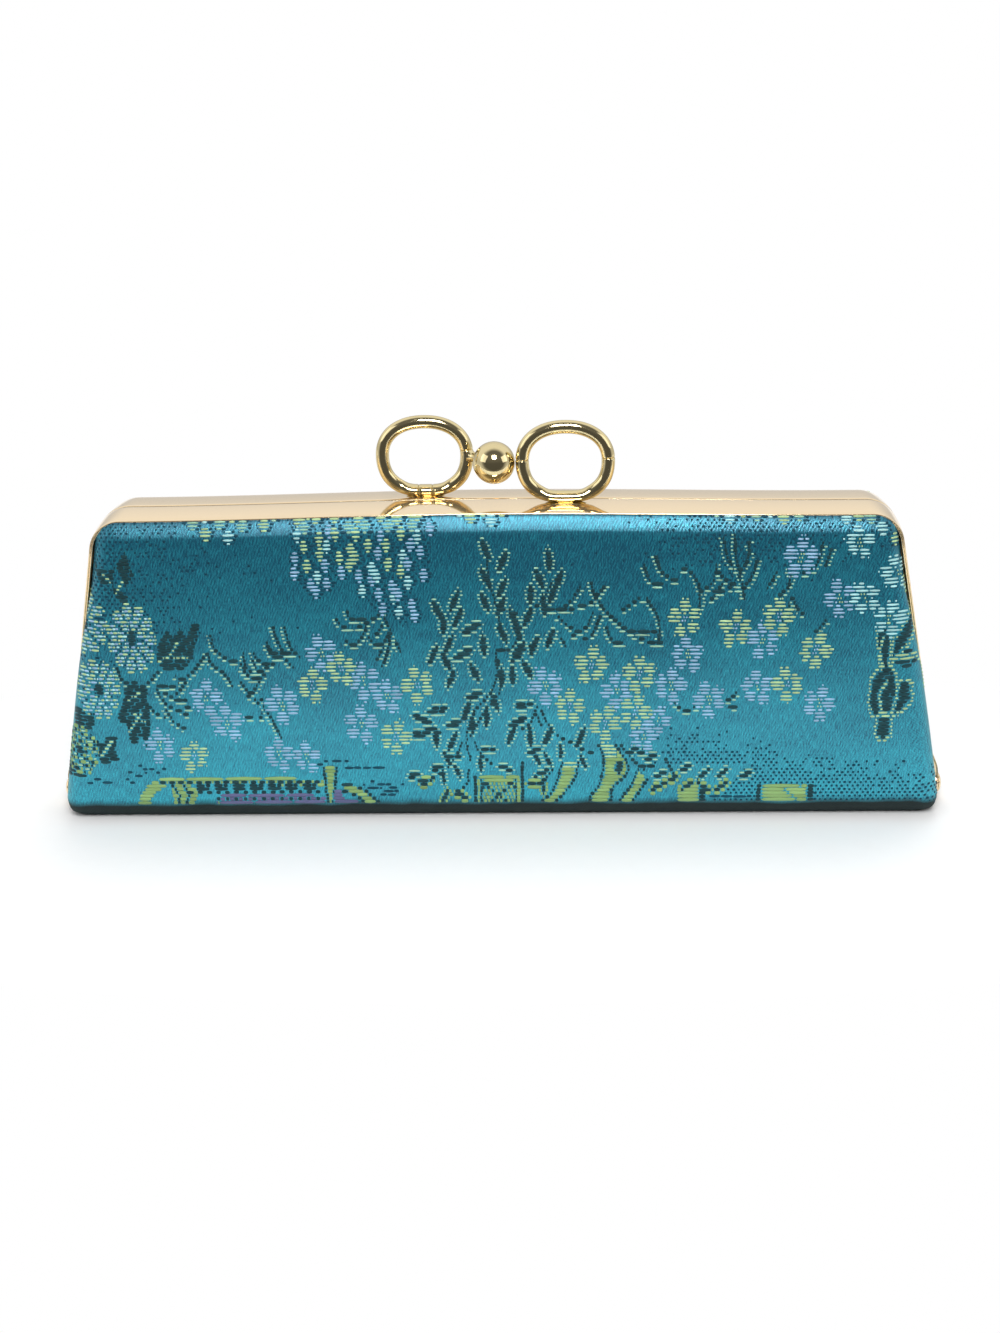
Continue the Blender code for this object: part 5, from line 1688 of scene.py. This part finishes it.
class GLASSESCASE_OT_brocade(bpy.types.Operator):
    """Builds the satin cover of each half and the coloured threads woven into it."""

    bl_idname = "glasses_case.brocade"
    bl_label = "Brocade"

    def execute(self, context):
        chart = weave_chart()
        front = chart.floats()
        chart.cells = np.roll(chart.cells[:, ::-1], round(REAR_SHIFT / chart.column), axis=1)
        silks = {label: silk_thread(label, gloss) for label, _, _, gloss in THREADS.values()}
        for (prefix, side), floats in zip(HALVES, (front, chart.floats())):
            name, body = prefix + "_cover", prefix + "_half"
            tray = Tray(side, swell=sizes().swell)
            mesh = tray.sheet(name, 198, 100, rings=16, wall_rings=3)
            nodes = [prefix + "_brocade_cover"]
            cover = piece(name, mesh, finish_of(brocade_satin), body, nodes, COVER_THICKNESS)
            middles = np.array([((start + end) / 2, up) for _, start, end, up in floats]) * MM
            _, out, distance = tray.nearest(middles)
            hidden = distance > tray.arc(out) * np.where(out[:, 1] < -0.5, *ROLL_SHARES)
            shown = [one for one, gone in zip(floats, hidden) if not gone and abs(one[1]) < SHOWN_HALF]
            for colour, (label, tall, wide, _) in THREADS.items():
                name = f"{prefix}_{label}_threads"
                mesh = thread_mesh(name, [one for one in shown if one[0] == colour], tray, tall, wide)
                piece(name, mesh, silks[label], body)
            prefix + "_pad"
        return {"FINISHED"}


# Name, node, slot, material, half length, height, sag and thickness of each strip across the foot
SPINE_STRIPS = (
    ("spine_cover", "bottom_spine", "brocade", brocade_satin, 0.0770, 0.0008, 0.00009, COVER_THICKNESS),
    ("spine_inner_lining", "spine_lining", "lining", lining_satin, 0.0734, 0.004, -0.00009, LINING_THICKNESS),
)
SPINE_INSET = 0.0001
SPINE_WAVE = 0.00006


class GLASSESCASE_OT_spine(bpy.types.Operator):
    """Builds the brocade and lining strips that cross the foot between the halves."""

    bl_idname = "glasses_case.spine"
    bl_label = "Spine"

    def execute(self, context):
        reach = SPINE_HALF_DEPTH - SPINE_INSET
        columns, rows = 160, 12
        for name, node, slot, maker, half, low, sag, thickness in SPINE_STRIPS:

            def chart(column, row):
                return np.stack([half * (2 * column / columns - 1), reach * (2 * row / rows - 1)], 1) / MM

            def place(column, row):
                x, y = chart(column, row).T * MM
                middle = 1 - (y / reach) ** 2
                wave = SPINE_WAVE * np.sin(x * 210) * middle
                return np.stack([x, y, low + (wave - sag) * middle], 1)

            mesh = mapped_grid(name, columns, rows, place, chart)
            obj = smooth_object(name, mesh, finish_of(maker), thickness)
            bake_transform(obj)
            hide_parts(node)
        return {"FINISHED"}


# Name, place, place it points at, size and power of each lamp
LAMPS = (
    ("overhead", (0.02, -0.44, 0.46), (0, 0, 0.03), 0.20, 2.3),
    ("backlight", (0.06, 0.28, 0.66), (0, 0, 0.02), 0.40, 1.5),
    ("left_fill", (-0.60, -0.30, 0.40), (0, 0, 0.03), 0.45, 0.7),
    ("right_fill", (0.62, -0.28, 0.36), (0, 0, 0.03), 0.40, 0.6),
)
CAMERA_PLACE = Vector((0.0125, -0.3542, 0.1480))
CAMERA_RIGHT = Vector((0.99944, 0.02833, -0.01756))
CAMERA_UP = Vector((0.0075, 0.3223, 0.94661))
CAMERA_LENS = 52.34
# The table: half its side, how far it reaches in front of the case, and the oval where it fades to white
FLOOR_HALF = 0.8
FLOOR_REACH = 0.092
FADE_START = 0.045
FADE_WIDTH = 0.035
FADE_STRETCH = 0.16
FADE_SHIFT = 0.004
# The surroundings: the way to the dim room's middle, and brightness as two places and the values there
ROOM_WAY = (0.03, -0.92, 0.39)
ROOM_AHEAD = (0.20, 0.62, 1.0, 0.15)
ROOM_HEIGHT = (0.05, 0.45, 0.66, 1.0)
SKY_HEIGHT = (-0.15, 0.05, 0.15, 0.48)


class GLASSESCASE_OT_stage(bpy.types.Operator):
    """Sets the floor, the soft studio light and the camera."""

    bl_idname = "glasses_case.stage"
    bl_label = "Stage"

    def execute(self, context):
        scene = context.scene
        self.lay_floor(scene)
        for name, place, target, size, power in LAMPS:
            light = bpy.data.lights.new(name, "AREA")
            light.size = size
            light.energy = power
            lamp = bpy.data.objects.new(name, light)
            lamp.location = place
            lamp.visible_glossy = name != "backlight"
            lamp.rotation_euler = (Vector(target) - Vector(place)).to_track_quat("-Z", "Y").to_euler()
            scene.collection.objects.link(lamp)
        self.light_world(scene)
        camera = bpy.data.cameras.new("camera")
        camera.lens, camera.sensor_width = CAMERA_LENS, 36
        camera.clip_start, camera.clip_end = 0.01, 10
        eye = bpy.data.objects.new("camera", camera)
        back = CAMERA_RIGHT.cross(CAMERA_UP)
        turn = Matrix((CAMERA_RIGHT, back.cross(CAMERA_RIGHT), back)).transposed().to_4x4()
        eye.matrix_world = Matrix.Translation(CAMERA_PLACE) @ turn
        scene.collection.objects.link(eye)
        scene.camera = eye
        scene.view_settings.view_transform = "Standard"
        return {"FINISHED"}

    def lay_floor(self, scene):
        """A pale table that keeps the case's shadow and fades to plain white away from it."""
        bm = bmesh.new()
        bmesh.ops.create_grid(bm, x_segments=1, y_segments=1, size=FLOOR_HALF)
        bmesh.ops.translate(bm, vec=(0, FLOOR_HALF - FLOOR_REACH, 0), verts=bm.verts)
        floor = bpy.data.objects.new("floor", mesh_from(bm, "floor"))
        scene.collection.objects.link(floor)
        paint = Finish("white_table", Roughness=0.85, Specular_IOR_Level=0.2)
        x, y, _ = paint.place()
        away = (x * x * FADE_STRETCH + (y + FADE_SHIFT) * (y + FADE_SHIFT)) ** 0.5
        seen = paint.value("ShaderNodeLightPath", "Is Camera Ray")
        mirrored = paint.value("ShaderNodeLightPath", "Is Glossy Ray")
        faded = ((away - FADE_START) / FADE_WIDTH).clamped() * (seen + mirrored * (y > 0)).clamped()
        glow = paint.node("ShaderNodeEmission", inputs={"Color": (1, 1, 1), "Strength": 1.0})
        shaders = {0: faded, 1: paint.shader.outputs[0], 2: glow.outputs[0]}
        mixed = paint.node("ShaderNodeMixShader", inputs=shaders)
        paint.set(paint.tree.nodes["Material Output"], {"Surface": mixed.outputs[0]})
        grain = paint.noise(x * 300, y * 300, 0.0)
        floor.data.materials.append(paint.finish(paint.mix(grain, (0.93, 0.93, 0.93), (0.95, 0.95, 0.95))))

    def light_world(self, scene):
        """A dim room in front, a white backdrop behind, and plain white for the camera."""
        world = bpy.data.worlds.new("studio")
        world.use_nodes = True
        world.node_tree.nodes.clear()
        scene.world = world
        nodes = Nodes(world.node_tree)

        def between(value, low, high, at_low, at_high):
            inputs = {0: value, 1: low, 2: high, 3: at_low, 4: at_high}
            return nodes.value("ShaderNodeMapRange", 0, {"interpolation_type": "SMOOTHSTEP"}, inputs)

        def chosen(ray, otherwise, value):
            factor = nodes.value("ShaderNodeLightPath", ray)
            inputs = {0: factor, 2: otherwise, 3: value}
            return nodes.value("ShaderNodeMix", 0, {"data_type": "FLOAT"}, inputs)

        way = nodes.node("ShaderNodeTexCoord").outputs["Generated"]
        inputs = {0: way, 1: ROOM_WAY}
        ahead = nodes.value("ShaderNodeVectorMath", "Value", {"operation": "DOT_PRODUCT"}, inputs)
        height = nodes.value("ShaderNodeSeparateXYZ", 2, inputs={0: way})
        room = between(ahead, *ROOM_AHEAD) * between(height, *ROOM_HEIGHT)
        sky = between(height, *SKY_HEIGHT)
        seen = chosen("Is Camera Ray", chosen("Is Glossy Ray", sky, room), 1.0)
        back = nodes.node("ShaderNodeBackground", inputs={"Color": (1, 1, 1), "Strength": seen})
        nodes.node("ShaderNodeOutputWorld", inputs={0: back.outputs[0]})


OPERATORS = (
    GLASSESCASE_OT_frame,
    GLASSESCASE_OT_clasp,
    GLASSESCASE_OT_hinge,
    GLASSESCASE_OT_layers,
    GLASSESCASE_OT_brocade,
    GLASSESCASE_OT_spine,
    GLASSESCASE_OT_stage,
)


class GLASSESCASE_PT_panel(bpy.types.Panel):
    """Lists the steps that build the case."""

    bl_label = "Glasses Case"
    bl_idname = "GLASSESCASE_PT_panel"
    bl_space_type = "VIEW_3D"
    bl_region_type = "UI"
    bl_category = "Glasses Case"

    def draw(self, context):
        for operator in OPERATORS:
            self.layout.operator(operator.bl_idname)
        for group in (context.scene.glasses_case_sizes, context.scene.glasses_case_colours):
            for name in group.__annotations__:
                self.layout.prop(group, name)


CLASSES = (CaseSizes, CaseColours, *OPERATORS, GLASSESCASE_PT_panel)


def register():
    """Registers the classes and the scene's settings."""
    for cls in CLASSES:
        bpy.utils.register_class(cls)
    bpy.types.Scene.glasses_case_sizes = PointerProperty(type=CaseSizes)
    bpy.types.Scene.glasses_case_colours = PointerProperty(type=CaseColours)


def unregister():
    """Takes away what register added."""
    del bpy.types.Scene.glasses_case_colours
    del bpy.types.Scene.glasses_case_sizes
    for cls in reversed(CLASSES):
        bpy.utils.unregister_class(cls)


def main():
    """Builds the case and its stage."""
    register()
    for operator in OPERATORS:
        group, name = operator.bl_idname.split(".")
        result = getattr(getattr(bpy.ops, group), name)()
        if result != {"FINISHED"}:
            raise RuntimeError(operator.bl_label + " did not finish")


if __name__ == "__main__":
    main()
